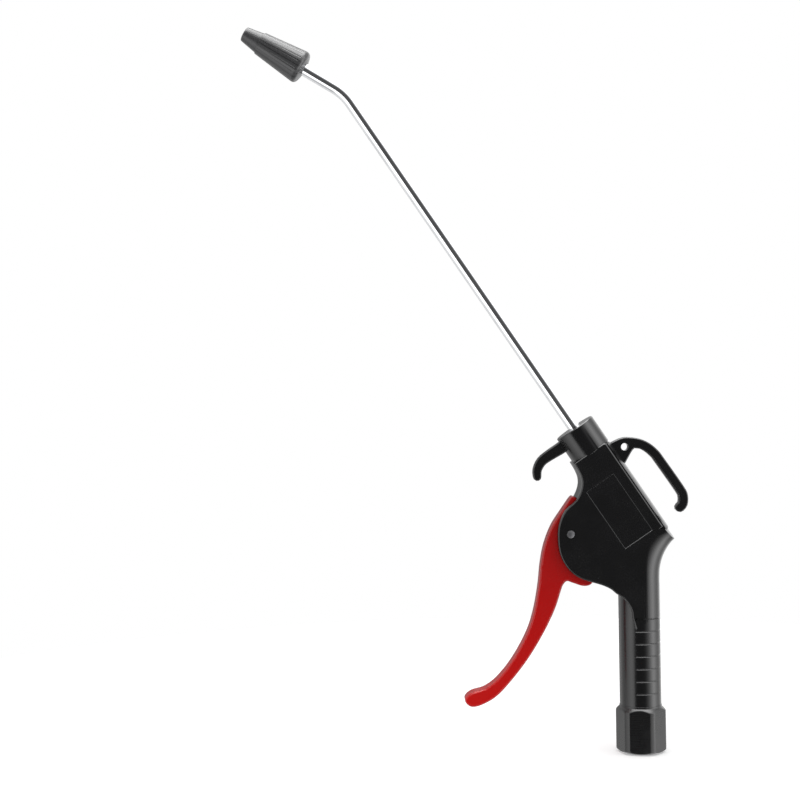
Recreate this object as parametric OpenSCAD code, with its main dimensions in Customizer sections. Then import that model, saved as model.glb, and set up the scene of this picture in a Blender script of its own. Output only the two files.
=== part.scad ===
// Pneumatic air duster: a pistol-grip blow gun with a lever and a long bent tube.
// The grip stands along Z, the back of the gun faces +X and the lever's pin lies along Y.
// The origin is the centre of the air inlet's mouth. Lengths are in millimetres.

/* [Grip] */
// Diameter of the round grip
grip_d = 20; // [19:0.5:23]
// Height at which the head's axis crosses the grip's axis
head_h = 111.7; // [109.7:1:124.7]
// Width of one groove round the grip
groove_w = 0.6; // [0.4:0.1:1]
// Depth of a groove
groove_depth = 0.4; // [0.2:0.1:0.8]
// Distance from one groove to the next
groove_pitch = 6; // [4:0.5:7]
// Number of grooves
groove_count = 7; // [3:1:7]
// Height of the lowest groove
groove_start_h = 28.9; // [26.9:0.2:32.9]
// Angle at the front of the grip that stays plain
plain_angle = 140; // [60:10:200]
// Diameter of the air passage up the grip
grip_bore_d = 11; // [8:0.5:12]

/* [Head] */
// Tilt of the head and the tube forward from the grip
head_tilt = 33.6; // [28:0.2:40]
// Width across the two flat cheeks
cheek_w = 19.6; // [19:0.1:20]
// Height of the cheeks' top edge along the head's axis
head_rise = 41; // [38:1:46]
// Distance from the head's axis to the front of the belly
belly_reach = 41.5; // [38:0.5:46]
// Distance from the head's axis to the flat back wall
back_reach = 7.5; // [7:0.1:8.5]
// Radius of the cheeks' edges
cheek_edge_r = 0.9; // [0.4:0.1:1.4]
// Diameter of the round collar that the tube enters
collar_d = 20.3; // [19.8:0.1:22]
// Length of the collar above the cheeks
collar_l = 13.5; // [10:0.5:18]
// Radius of the hollow curve from the grip to the heel
heel_r = 25; // [25:1:32]
// Drop from the head's height to where the grip starts to widen towards the heel
heel_drop = 26.7; // [22.7:0.5:27.7]
// Drop from the head's height to where the flat cheeks run out on the grip
flat_drop = 49; // [40:1:54]

/* [Spine and hooks] */
// Distance from the head's axis to the back of the arched heel
heel_reach = 9.6; // [9:0.1:10]
// Distance from the head's axis to the back of the spine
spine_reach = 10.4; // [10.1:0.1:11.5]
// Thickness of both hooks
hook_w = 5; // [4:0.5:7]
// Radius of the hooks' edges
hook_edge_r = 0.8; // [0.4:0.1:1]
// Width of the hanging hook's arm
hang_arm_w = 4.6; // [4:0.2:6]
// Distance from the head's axis to the middle of the hanging hook's arm
hang_reach = 25.2; // [23:0.2:30]
// Height of the hanging hook's top along the head's axis
hang_rise = 36.7; // [34:0.5:40]
// Diameter of the hanging eye
eye_d = 3.6; // [3:0.2:4.4]
// Distance from the head's axis to the end of the finger hook
finger_reach = 28.4; // [26:0.2:34]
// Height of the finger hook along the head's axis
finger_rise = 49.9; // [47:0.5:51]
// Width of the finger hook at its root
finger_root_w = 6.2; // [5:0.2:8]
// Width of the finger hook at its end
finger_tip_w = 3.9; // [3:0.2:5]

/* [Name panel] */
// Width of the bare panel let into each cheek
panel_w = 15.9; // [10:0.5:17]
// Length of the panel along the head's axis
panel_l = 33; // [20:1:36]
// Depth of the panel
panel_depth = 0.45; // [0.2:0.05:0.8]

/* [Lever] */
// Distance from the head's axis to the pivot pin
pivot_reach = 31.1; // [29:0.2:34]
// Height of the pivot pin along the head's axis
pivot_rise = 13.9; // [12:0.2:16]
// Diameter of the pivot pin
pin_d = 4.2; // [3:0.2:5]
// Width of the lever
lever_w = 10.4; // [8:0.2:12]
// Distance from the pin to the lever's end, square to the head's axis
lever_reach = 87.5; // [70:1:100]
// Drop from the pin to the lever's end, along the head's axis
lever_drop = 44.7; // [38:1:52]
// Radius of the lever's edges
lever_edge_r = 1.2; // [0.6:0.1:1.2]
// Distance from the pin to the pad that presses the valve stem
pad_reach = 4.8; // [4:0.2:6]

/* [Tube] */
// Outer diameter of the tube
tube_d = 6; // [5:0.5:8]
// Wall of the tube
tube_wall = 0.8; // [0.5:0.1:1.2]
// Length of the straight tube above the collar
tube_l = 190.8; // [100:1:300]
// Radius of the bend along the tube's middle
bend_r = 25.7; // [20:1:50]
// Angle of the bend
bend_angle = 24.8; // [0.2:0.2:60]
// Length of tube that shows between the bend and the nozzle
front_l = 17.4; // [10:1:40]

/* [Nozzle] */
// Diameter of the nozzle at its base
nozzle_d = 16.4; // [14.4:0.2:20]
// Length of the nozzle without its tip
nozzle_l = 24.6; // [20.1:0.5:32.1]
// Diameter of the nozzle at its front
nozzle_front_d = 11.3; // [10.3:0.1:12.3]
// Radius of the rounded base
nozzle_base_r = 2.4; // [1:0.2:3]
// Length of the tip that shows
tip_l = 9; // [6:0.5:14]
// Diameter of the tip's base
tip_base_d = 10.4; // [9.4:0.1:10.8]
// Diameter of the tip's end
tip_end_d = 7.2; // [5:0.2:8]
// Diameter of the air outlet
outlet_d = 2; // [1:0.2:3]
// Number of flutes round the nozzle
flute_count = 24; // [12:2:30]
// Width of one flute
flute_w = 0.7; // [0.4:0.1:0.9]

/* [Inlet] */
// Width across the flats of the hexagonal inlet adapter
hex_af = 22; // [20:1:24]
// Diameter that the hexagon's corners are turned to
hex_corner_d = 24; // [23:0.5:26]
// Height of the hexagonal adapter
hex_h = 22.7; // [20.7:1:25.7]
// Height at which the adapter's shoulder starts to close in
shoulder_h = 17.6; // [15:0.1:18.6]
// Turn of the hexagon about the grip
hex_turn = -12; // [-30:1:30]
// Minor diameter of the G 1/4 inlet thread
inlet_thread_d = 11.44; // [8:0.01:12]
// Depth of the inlet thread
inlet_thread_l = 13; // [10:0.5:16]
// Diameter of the adapter's spigot in the grip
spigot_d = 15; // [14.4:0.1:15.6]
// Length of the spigot
spigot_l = 10; // [8:0.5:14]

/* [Valve] */
// Height of the valve along the head's axis
valve_rise = 3; // [2:0.2:5]
// Diameter of the valve's bore in the housing
valve_bore_d = 11; // [10:0.2:12]
// Diameter of the valve stem
stem_d = 4; // [3:0.2:4.4]
// Diameter of the stem's disc
disc_d = 8; // [7:0.2:8.6]
// Thickness of the rubber in every O-ring
ring_t = 1.6; // [1.2:0.1:1.8]
// Travel of the stem when the lever is squeezed fully
stem_travel = 3.2; // [2:0.1:3.4]
// Diameter of the spring's wire
wire_d = 0.5; // [0.4:0.05:0.6]
// Mean diameter of the spring
spring_d = 4.4; // [3.6:0.1:4.6]
// Number of turns in the spring
spring_turns = 4; // [3:1:4]

/* [Hidden] */
$fn = 64;

// Overrun of every cut past the face that it starts from
over = 1;
// Clearance round a piece that is fitted in a hole and stays there
fit_gap = 0.02;
// Clearance round a piece that slides or turns
run_gap = 0.05;
// Clearance between moving pieces that only rest on each other
rest_gap = 0.2;
// Height by which one face stands proud where two meet flush
flush_gap = 0.02;
// Length by which two stretches of one piece overlap
lap = 0.1;

grip_r = grip_d / 2;
cheek_half = cheek_w / 2;
heel_start_h = head_h - heel_drop;
flat_end_h = head_h - flat_drop;

// Slot between the cheeks, its clearance on each side of the lever and its floor and ends
slot_side_gap = 0.4;
slot_w = lever_w + 2 * slot_side_gap;
slot_floor = -18.6;
slot_top = 30;
slot_end = -14.6;
slot_corner_r = 2;

// Valve places along its own axis, from the slot's floor towards the back
nut_l = 3.4;
sleeve_start = slot_floor + nut_l + fit_gap;
sleeve_end = 1.4;
seal_t = 1.2;
stem_disc_t = 1.2;
disc_start = sleeve_end + seal_t;
chamber_end = disc_start + stem_disc_t + stem_travel + rest_gap;
spring_pocket_end = 10;
spring_pocket_d = 5.4;
sleeve_d = valve_bore_d - 2 * fit_gap;
sleeve_bore_d = 6;
sleeve_hall = -8.2;
front_groove = -14;
stem_groove = -11.2;
rear_groove = -1.4;
port_start = -6.6;
port_end = -1.9;
port_d = 3.2;
port_wall = 1.1;
seat_lip = 0.5;
seat_lip_w = 0.6;

// Transfer passage from the grip's bore up to the valve's chamber
transfer_d = 4.6;
transfer_drop = 27;
transfer_x = 4.6;
grip_bore_end_h = head_h - transfer_drop;

// Outlet passage from the valve's sleeve up to the tube's bush
outlet_passage_d = 4.4;
outlet_passage_x = -4.2;
bush_d = 13;
bush_l = 10;
bush_floor = head_rise - 3;
plenum_l = 3;
plenum_d = 12;

nozzle_bore_depth = 15;
nozzle_air_d = 3;

flat_run_out = 2;
loft_levels = 12;
loft_points = 56;
curve_steps = 3;
edge_steps = 3;
arch_steps = 10;

// Vector of length one along v
function unit(v) = v / norm(v);

// Vector turned a quarter turn to the left
function left_of(v) = [-v[1], v[0]];

// Place on a smooth curve between b and c, whose neighbours are a and d
function catmull(a, b, c, d, t) =
    (2 * b + (c - a) * t + (2 * a - 5 * b + 4 * c - d) * t * t + (3 * b - a - 3 * c + d) * t * t * t) / 2;

// Smooth open curve through the points p, with n steps from each to the next
function curve(p, n = curve_steps) = concat(
    [for (i = [0 : len(p) - 2]) for (j = [0 : n - 1])
        catmull(p[max(i - 1, 0)], p[i], p[i + 1], p[min(i + 2, len(p) - 1)], j / n)],
    [p[len(p) - 1]]
);

// Shares of a width and a height as points
function sized(shares, w, h) = [for (s = shares) [s[0] * w, s[1] * h]];

// Unit normal to the left of an open curve at its point i
function normal_at(p, i) = left_of(unit(p[min(i + 1, len(p) - 1)] - p[max(i - 1, 0)]));

// Width of a ribbon at its point i, from w0 at the first point to w1 at the last
function ribbon_w(p, i, w0, w1) = w0 + (w1 - w0) * i / (len(p) - 1);

// One side of a ribbon along the open curve p: side is 1 for the left and -1 for the right
function ribbon_side(p, side, w0, w1, first = 0) = [
    for (i = [first : len(p) - 1]) p[i] + normal_at(p, i) * side * ribbon_w(p, i, w0, w1) / 2
];

// Round end of a ribbon, from its right side to its left
function ribbon_end(p, w, n = 4) = [
    for (j = [1 : n]) let (a = 180 * j / (n + 1), m = normal_at(p, len(p) - 1))
        p[len(p) - 1] + (-m * cos(a) - left_of(m) * sin(a)) * w / 2
];

function reversed(p) = [for (i = [len(p) - 1 : -1 : 0]) p[i]];

// Closed counterclockwise outline moved inwards by d
function inset(p, d) = [
    for (i = [0 : len(p) - 1]) let (
        a = unit(p[i] - p[(i + len(p) - 1) % len(p)]),
        b = unit(p[(i + 1) % len(p)] - p[i])
    ) p[i] + d * (left_of(a) + left_of(b)) / (1 + a * b)
];

// Arc of n steps about a centre, from angle a0 to a1
function arc(centre, r, a0, a1, n) = [
    for (j = [0 : n]) let (a = a0 + (a1 - a0) * j / n) centre + r * [cos(a), sin(a)]
];

// Twice the area of the triangle a, b, c, positive when it runs counterclockwise
function turn(a, b, c) = (b[0] - a[0]) * (c[1] - a[1]) - (b[1] - a[1]) * (c[0] - a[0]);

// Whether the corner b between a and c sticks out and no other corner of the outline lies behind it
function is_ear(p, ids, a, b, c) = turn(a, b, c) > 0 && len([
    for (i = ids) let (q = p[i])
        if (q != a && q != b && q != c && turn(a, b, q) >= 0 && turn(b, c, q) >= 0 && turn(c, a, q) >= 0) i
]) == 0;

// Place in ids of the first corner, from k on, that can be cut off
function ear(p, ids, k = 0) = let (n = len(ids))
    k == n - 1 || is_ear(p, ids, p[ids[(k + n - 1) % n]], p[ids[k]], p[ids[k + 1]]) ? k : ear(p, ids, k + 1);

// Triangles that fill the counterclockwise outline p, found by cutting off one corner after another
function filled(p, ids) = let (n = len(ids), k = n > 3 ? ear(p, ids) : 0) n == 3 ? [ids] : concat(
    [[ids[(k + n - 1) % n], ids[k], ids[(k + 1) % n]]],
    filled(p, [for (i = [0 : n - 1]) if (i != k) ids[i]])
);

// Solid skin over rings of points that all have the same count, closed by the triangles in ends
module skin(rings, ends) {
    n = len(rings[0]);
    m = len(rings);
    polyhedron(
        points = [for (ring = rings) for (p = ring) p],
        faces = concat(
            ends,
            [for (f = ends) [for (i = reversed(f)) (m - 1) * n + i]],
            [for (l = [0 : m - 2]) for (i = [0 : n - 1])
                [l * n + i, (l + 1) * n + i, (l + 1) * n + (i + 1) % n]],
            [for (l = [0 : m - 2]) for (i = [0 : n - 1])
                [l * n + i, (l + 1) * n + (i + 1) % n, l * n + (i + 1) % n]]
        )
    );
}

// Plate of thickness t with edges of radius r, standing on the middle plane of the gun
module rounded_plate(outline, t, r, steps = edge_steps) {
    turns = [for (j = [0 : steps]) 90 * j / steps];
    levels = concat(
        [for (a = reversed(turns)) [r * (1 - cos(a)), r - t / 2 - r * sin(a)]],
        [for (a = turns) [r * (1 - cos(a)), t / 2 - r + r * sin(a)]]
    );
    rotate([90, 0, 0])
        skin(
            [for (l = levels) [for (q = inset(outline, l[0])) [q[0], q[1], l[1]]]],
            filled(inset(outline, r), [for (i = [0 : len(outline) - 1]) i])
        );
}

// Frame of the head: local Z runs up the head's axis and local X to the back
module in_head() {
    translate([0, 0, head_h])
        rotate([0, -head_tilt, 0])
            children();
}

// Frame of the valve: local Z runs along its bore, towards the back
module in_valve(z = 0) {
    in_head()
        translate([z, 0, valve_rise])
            rotate([0, 90, 0])
                children();
}

// Frame of the nozzle: local Z runs along the end of the tube, from the nozzle's base
module in_nozzle() {
    in_head()
        translate([-bend_r, 0, head_rise + collar_l + tube_l])
            rotate([0, -bend_angle, 0])
                translate([bend_r, 0, front_l])
                    children();
}

// Ring of round section in a groove of radius r0 at its bottom
module o_ring(r0) {
    rotate_extrude()
        translate([r0 + ring_t / 2, ring_t / 2])
            circle(d = ring_t, $fn = 24);
}

// Cylinder with a conical chamfer c at both ends
module chamfered_rod(d, h, c) {
    rotate_extrude()
        polygon([[0, 0], [d / 2 - c, 0], [d / 2, c], [d / 2, h - c], [d / 2 - c, h], [0, h]]);
}

// Outline of the two cheeks, counterclockwise from the top of the back wall, in the head's frame.
// The front runs down the neck, round the belly and sinks into the grip.
cheek_front_shares = [
    [-0.258, 1], [-0.267, 0.87], [-0.298, 0.772], [-0.368, 0.692], [-0.478, 0.63],
    [-0.648, 0.602], [-0.797, 0.508], [-0.893, 0.391], [-0.968, 0.252], [-1, 0.124],
    [-0.997, -0.012], [-0.957, -0.13], [-0.892, -0.227], [-0.788, -0.354], [-0.728, -0.453],
    [-0.704, -0.536], [-0.666, -0.632], [-0.661, -0.745], [-0.677, -0.814], [-0.712, -0.881]
];
cheek_foot_shares = [
    [-0.755, -1.044], [-0.68, -1.1], [-0.41, -0.72], [-0.174, -0.372], [-0.05, -0.235]
];
cheek_back_shares = [[0.344, -0.191], [0.6, -0.203], [1, -0.198]];
cheek_corner_share = 0.022;

function cheek_outline() = concat(
    [[back_reach - head_rise * cheek_corner_share, head_rise]],
    curve(sized(cheek_front_shares, belly_reach, head_rise)),
    sized(cheek_foot_shares, belly_reach, head_rise),
    sized(cheek_back_shares, back_reach, head_rise),
    [[back_reach, head_rise * (1 - cheek_corner_share)]]
);

// Arch across the back from -half to half, with its ends at x and its top at reach
function back_arch(x, reach, half) = let (a = 2 * atan((reach - x) / half))
    arc([x - half / tan(a), 0], half / sin(a), -a, a, arch_steps);

// How far the back of the grip reaches at height z, along the hollow curve up to the heel
function heel_x(z) = grip_r + heel_r - sqrt(heel_r * heel_r - pow(max(z - heel_start_h, 0), 2));

// Height of the part that widens, and the powers of its curves, which fill out towards its top
neck_top_share = 0.09;
neck_rise = heel_drop - head_rise * neck_top_share;
level_power = 0.8;
round_power = 2;
fill_power = 4;

// Power of the level at height z: an ellipse where the grip starts to widen, and squarer above
function neck_power(z) = round_power * (1 + pow(max(z - heel_start_h, 0) / neck_rise, fill_power));

// Value of a cosine or sine raised to a power, with its sign kept
function raised(c, power) = sign(c) * pow(abs(c), power);

// Level of the grip's upper part: round in front, stretched at the back and flat on both cheeks
function neck_ring(z, shrink) = [
    for (i = [0 : loft_points - 1]) let (
        a = 360 * (i + 0.5) / loft_points,
        power = cos(a) > 0 ? round_power / neck_power(z) : 1,
        flat = cheek_half - flush_gap + (grip_r - cheek_half) * max(0, 1 - (z - flat_end_h) / flat_run_out),
        x = (cos(a) > 0 ? heel_x(z) - shrink : grip_r - shrink) * raised(cos(a), power),
        y = (grip_r - shrink) * raised(sin(a), power)
    ) [x, min(max(y, -flat), flat), z]
];

// Upper part of the grip, which widens backwards to the heel on levels that get closer
module grip_neck() {
    plain = [flat_end_h - lap, flat_end_h + flat_run_out, heel_start_h];
    rise = [for (j = [1 : loft_levels]) heel_start_h + neck_rise * pow(j / loft_levels, level_power)];
    difference() {
        skin([for (z = concat(plain, rise)) neck_ring(z, flush_gap)], [[for (i = [0 : loft_points - 1]) i]]);
        in_head()
            translate([0, 0, -head_rise])
                linear_extrude(2 * head_rise)
                    polygon(concat(
                        [[grip_d, -grip_d], [grip_d, grip_d]],
                        reversed(back_arch(back_reach, heel_reach - flush_gap, cheek_half))
                    ));
    }
}

// Arched spine down the back wall, from the top of the cheeks to just above the heel
spine_step = 0.6;
spine_inset = 0.5;
spine_corner_r = 1.2;
spine_end_share = -0.255;
spine_top_share = 0.965;
spine_inner_share = 0.3;

module spine() {
    low = head_rise * spine_end_share;
    high = head_rise * spine_top_share;
    inner = back_reach * spine_inner_share;
    corner = spine_reach - spine_corner_r;
    half = cheek_half - cheek_edge_r - spine_inset;
    intersection() {
        translate([0, 0, low])
            linear_extrude(high - low)
                polygon(concat(
                    [[inner, half], [inner, -half]],
                    back_arch(back_reach + spine_step, spine_reach, half)
                ));
        rotate([90, 0, 0])
            linear_extrude(cheek_w, center = true)
                polygon(concat(
                    [[inner, high], [inner, low]],
                    arc([corner, low + spine_corner_r], spine_corner_r, -90, 0, 4),
                    arc([corner, high - spine_corner_r], spine_corner_r, 0, 90, 4)
                ));
    }
}

// Hanging hook: a lug with the eye, and an arm that turns down behind the head
hang_middle_shares = [
    [0.2, 1], [0.568, 0.97], [0.714, 0.916], [0.841, 0.834], [0.933, 0.73],
    [0.984, 0.605], [0.993, 0.485], [1, 0.041], [0.976, -0.071], [0.889, -0.153], [0.8, -0.172]
];
hang_root_shares = [[0.2, 0.66], [0.433, 0.725], [0.611, 0.787], [0.675, 0.806], [0.722, 0.811]];
hang_inner_start = 10;
eye_shares = [0.58, 0.902];

module hanging_hook() {
    middle = curve(sized(hang_middle_shares, hang_reach, hang_rise));
    rounded_plate(concat(
        sized(hang_root_shares, hang_reach, hang_rise),
        ribbon_side(middle, -1, hang_arm_w, hang_arm_w, hang_inner_start),
        ribbon_end(middle, hang_arm_w),
        reversed(ribbon_side(middle, 1, hang_arm_w, hang_arm_w))
    ), hook_w, hook_edge_r);
}

// Finger hook in front of the collar
finger_middle_shares = [[-0.2, 1.002], [-0.42, 1.002], [-0.62, 1.006], [-0.79, 1], [-0.93, 0.957], [-1, 0.9]];

module finger_hook() {
    middle = curve(sized(finger_middle_shares, finger_reach, finger_rise));
    rounded_plate(concat(
        ribbon_side(middle, -1, finger_root_w, finger_tip_w),
        ribbon_end(middle, finger_tip_w),
        reversed(ribbon_side(middle, 1, finger_root_w, finger_tip_w))
    ), hook_w, hook_edge_r);
}

// Sloped panel in one cheek, bare where the name would stand
panel_right_share = 0.298;
panel_base_share = -0.16;

module name_panel(side) {
    right = back_reach * panel_right_share;
    base = head_rise * panel_base_share;
    in_head()
        translate([0, side * (cheek_half + panel_l - panel_depth), 0])
            rounded_plate([
                [right, base + panel_l], [right - panel_w, base + panel_l],
                [right - panel_w, base], [right, base]
            ], 2 * panel_l, panel_depth, 1);
}

// Grooves round the grip, left out across its front
module grip_grooves() {
    for (i = [0 : groove_count - 1])
        translate([0, 0, groove_start_h + i * groove_pitch])
            rotate([0, 0, plain_angle / 2 - 180])
                rotate_extrude(angle = 360 - plain_angle)
                    polygon([
                        [grip_r - groove_depth, -groove_w / 4],
                        [grip_r + groove_depth, -groove_w],
                        [grip_r + groove_depth, groove_w],
                        [grip_r - groove_depth, groove_w / 4]
                    ]);
}

// Slot between the cheeks that the lever swings in
module lever_slot() {
    in_head()
        rotate([90, 0, 0])
            linear_extrude(slot_w, center = true)
                difference() {
                    translate([-2 * belly_reach, slot_end])
                        square([2 * belly_reach + slot_floor, slot_top - slot_end]);
                    difference() {
                        translate([slot_floor - slot_corner_r, slot_end - over])
                            square([slot_corner_r + over, slot_corner_r + over]);
                        translate([slot_floor - slot_corner_r, slot_end + slot_corner_r])
                            circle(r = slot_corner_r);
                    }
                }
}

// Air passages and the seats of the inlet, the valve and the tube
module housing_bores() {
    // Counterbore and passage up the grip
    translate([0, 0, hex_h - over])
        cylinder(d = spigot_d + 2 * fit_gap, h = spigot_l + over);
    translate([0, 0, hex_h])
        cylinder(d = grip_bore_d, h = grip_bore_end_h - hex_h);
    translate([transfer_x, 0, grip_bore_end_h - over])
        cylinder(d = transfer_d, h = head_h + valve_rise / 2 - grip_bore_end_h + over);
    // Valve bore and the pocket of its spring
    in_valve(slot_floor - over)
        cylinder(d = valve_bore_d, h = chamber_end - slot_floor + over);
    in_valve(chamber_end - over)
        cylinder(d = spring_pocket_d, h = spring_pocket_end - chamber_end + over);
    // Outlet passage, plenum, bush seat and the tube's hole
    in_head() {
        translate([outlet_passage_x, 0, valve_rise])
            cylinder(d = outlet_passage_d, h = bush_floor - valve_rise + over);
        translate([0, 0, bush_floor])
            cylinder(d = plenum_d, h = plenum_l + fit_gap);
        translate([0, 0, bush_floor + plenum_l])
            cylinder(d = bush_d + 2 * fit_gap, h = bush_l + fit_gap);
        translate([0, 0, bush_floor + plenum_l])
            cylinder(d = tube_d + 2 * fit_gap, h = head_rise + collar_l);
        translate([-pivot_reach, cheek_w, pivot_rise])
            rotate([90, 0, 0])
                cylinder(d = pin_d + 2 * fit_gap, h = 2 * cheek_w);
        translate([hang_reach * eye_shares[0], hook_w, hang_rise * eye_shares[1]])
            rotate([90, 0, 0])
                cylinder(d = eye_d, h = 2 * hook_w);
    }
}

collar_chamfer = 0.4;

// One moulding: grip, cheeks, collar, spine and both hooks
module housing() {
    color([0.06, 0.06, 0.065])
        difference() {
            union() {
                translate([0, 0, hex_h + fit_gap])
                    cylinder(d = grip_d, h = flat_end_h - hex_h - fit_gap);
                grip_neck();
                in_head() {
                    rounded_plate(cheek_outline(), cheek_w, cheek_edge_r);
                    translate([0, 0, head_rise - over])
                        chamfered_rod(collar_d, collar_l + over, collar_chamfer);
                    spine();
                    hanging_hook();
                    finger_hook();
                }
            }
            lever_slot();
            housing_bores();
            grip_grooves();
            name_panel(1);
            name_panel(-1);
        }
}

// Hexagonal adapter with turned corners, a sloped shoulder and a spigot in the grip
adapter_chamfer = 0.5;
adapter_neck_r = 10.2;
adapter_neck_h = 21.9;
inlet_passage_d = 8;
spigot_groove_h = 5;

module inlet_adapter() {
    corner_r = hex_corner_d / 2;
    groove_r = spigot_d / 2 - ring_t;
    color([0.07, 0.07, 0.075])
        difference() {
            union() {
                rotate([0, 0, hex_turn])
                    intersection() {
                        cylinder(d = hex_af / cos(30), h = hex_h, $fn = 6);
                        rotate_extrude()
                            polygon([
                                [0, 0], [corner_r - adapter_chamfer, 0], [corner_r, adapter_chamfer],
                                [corner_r, shoulder_h], [adapter_neck_r, adapter_neck_h],
                                [adapter_neck_r, hex_h], [0, hex_h]
                            ]);
                    }
                translate([0, 0, hex_h - over])
                    cylinder(d = spigot_d, h = spigot_l + over - fit_gap);
            }
            translate([0, 0, -over])
                cylinder(d = inlet_thread_d, h = inlet_thread_l + over);
            translate([0, 0, inlet_thread_l - over])
                cylinder(d = inlet_passage_d, h = hex_h + spigot_l);
            translate([0, 0, hex_h + spigot_groove_h])
                rotate_extrude()
                    translate([groove_r, 0])
                        square([2 * ring_t, ring_t + 2 * run_gap]);
        }
}

module inlet_o_ring() {
    color([0.12, 0.12, 0.12])
        translate([0, 0, hex_h + spigot_groove_h + run_gap])
            o_ring(spigot_d / 2 - ring_t);
}

// Brass sleeve that guides the stem and carries the seat, with ports to the outlet passage
module valve_sleeve() {
    r = sleeve_d / 2;
    groove_w = ring_t + 2 * run_gap;
    color([0.80, 0.62, 0.28])
        difference() {
            in_valve(sleeve_start)
                cylinder(d = sleeve_d, h = sleeve_end - sleeve_start);
            in_valve(sleeve_start - over)
                cylinder(d = stem_d + 2 * run_gap, h = sleeve_end - sleeve_start + 2 * over);
            in_valve(sleeve_hall)
                cylinder(d = sleeve_bore_d, h = sleeve_end - sleeve_hall + over);
            in_valve(stem_groove)
                cylinder(r = stem_d / 2 + ring_t + run_gap, h = groove_w);
            for (place = [front_groove, rear_groove])
                in_valve(place)
                    rotate_extrude()
                        translate([r - ring_t, 0])
                            square([2 * ring_t, groove_w]);
            in_valve(port_start)
                rotate_extrude()
                    translate([r - port_wall, 0])
                        square([2 * port_wall, port_end - port_start]);
            for (turn = [0, 90])
                in_valve((port_start + port_end) / 2)
                    rotate([0, 90, turn])
                        cylinder(d = port_d, h = 2 * sleeve_d, center = true);
            in_valve(sleeve_end - seat_lip)
                rotate_extrude()
                    translate([sleeve_bore_d / 2 + seat_lip_w, 0])
                        square([sleeve_d, 2 * seat_lip]);
        }
}

module sleeve_front_o_ring() {
    color([0.12, 0.12, 0.12])
        in_valve(front_groove + run_gap)
            o_ring(sleeve_d / 2 - ring_t);
}

module sleeve_rear_o_ring() {
    color([0.12, 0.12, 0.12])
        in_valve(rear_groove + run_gap)
            o_ring(sleeve_d / 2 - ring_t);
}

// Slotted ring nut that holds the sleeve in the housing
nut_slot_w = 1.6;
nut_slot_depth = 1.2;
nut_play = 0.4;

module valve_nut() {
    color([0.78, 0.60, 0.27])
        in_valve(slot_floor)
            difference() {
                cylinder(d = valve_bore_d - 2 * fit_gap, h = nut_l);
                translate([0, 0, -over])
                    cylinder(d = stem_d + 2 * nut_play, h = nut_l + 2 * over);
                translate([-valve_bore_d, -nut_slot_w / 2, -over])
                    cube([2 * valve_bore_d, nut_slot_w, nut_slot_depth + over]);
            }
}

// Steel stem: a round nose on the lever's pad, and a disc that the air and the spring close
stem_nose = -pivot_reach + pad_reach + rest_gap;
washer_t = 0.5;

module valve_stem() {
    nose_r = stem_d / 2;
    color([0.75, 0.76, 0.78])
        in_valve(stem_nose)
            rotate_extrude()
                polygon(concat(
                    [[0, 0]],
                    [for (a = [-75 : 15 : 0]) [nose_r * cos(a), nose_r + nose_r * sin(a)]],
                    [
                        [nose_r, disc_start - stem_nose],
                        [disc_d / 2, disc_start - stem_nose],
                        [disc_d / 2, disc_start + stem_disc_t - stem_nose],
                        [0, disc_start + stem_disc_t - stem_nose]
                    ]
                ));
}

module stem_o_ring() {
    color([0.12, 0.12, 0.12])
        in_valve(stem_groove + run_gap)
            o_ring(stem_d / 2 + run_gap);
}

// Rubber washer that closes on the sleeve's seat
module poppet_seal() {
    color([0.15, 0.15, 0.15])
        in_valve(sleeve_end)
            difference() {
                cylinder(d = disc_d, h = seal_t);
                translate([0, 0, -over])
                    cylinder(d = stem_d + 2 * fit_gap, h = seal_t + 2 * over);
            }
}

// Brass washer that keeps the seal on the stem, inside the seat
module poppet_washer() {
    color([0.80, 0.62, 0.28])
        in_valve(sleeve_end - washer_t)
            difference() {
                cylinder(d = sleeve_bore_d - 2 * rest_gap, h = washer_t);
                translate([0, 0, -over])
                    cylinder(d = stem_d + 2 * fit_gap, h = washer_t + 2 * over);
            }
}

// Helical spring between the stem's disc and the end of its pocket
spring_ring_points = 6;
spring_rings = 12;

module valve_spring() {
    start = disc_start + stem_disc_t + wire_d / 2 + flush_gap;
    length = spring_pocket_end - wire_d / 2 - flush_gap - start;
    count = spring_turns * spring_rings;
    color([0.70, 0.71, 0.73])
        in_valve(start)
            skin(
                [for (j = [0 : count]) let (a = 360 * j / spring_rings)
                    [for (i = [0 : spring_ring_points - 1]) let (
                        b = -360 * i / spring_ring_points,
                        r = spring_d / 2 + wire_d / 2 * cos(b)
                    ) [r * cos(a), r * sin(a), length * j / count + wire_d / 2 * sin(b)]]
                ],
                [[for (i = [0 : spring_ring_points - 1]) i]]
            );
}

// Outline of the lever about its pin, counterclockwise from its top, in the head's frame.
// It runs down the front to the finger's end, up the back to the fin, and round the pad.
lever_shares = [
    [0.041, 0.255], [-0.057, 0.174], [-0.15, 0.049], [-0.226, -0.098], [-0.306, -0.282],
    [-0.405, -0.479], [-0.506, -0.631], [-0.646, -0.772], [-0.773, -0.852], [-0.865, -0.864],
    [-0.939, -0.821], [-0.984, -0.826], [-1, -0.87], [-0.985, -0.945], [-0.929, -0.989],
    [-0.834, -1], [-0.705, -0.942], [-0.562, -0.846], [-0.417, -0.713], [-0.301, -0.579],
    [-0.219, -0.456], [-0.191, -0.418], [-0.162, -0.407], [-0.141, -0.456], [-0.109, -0.537],
    [-0.082, -0.573], [-0.059, -0.579], [-0.041, -0.559], [-0.034, -0.503]
];
pad_low_share = -0.36;
pad_high_share = -0.13;
lever_top_shares = [[0.07, 0.02], [0.068, 0.13], [0.092, 0.2], [0.124, 0.232]];
lever_corner_shares = [[0.1385, 0.262], [0.137, 0.293], [0.121, 0.311]];
lever_round_steps = 2;

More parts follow.
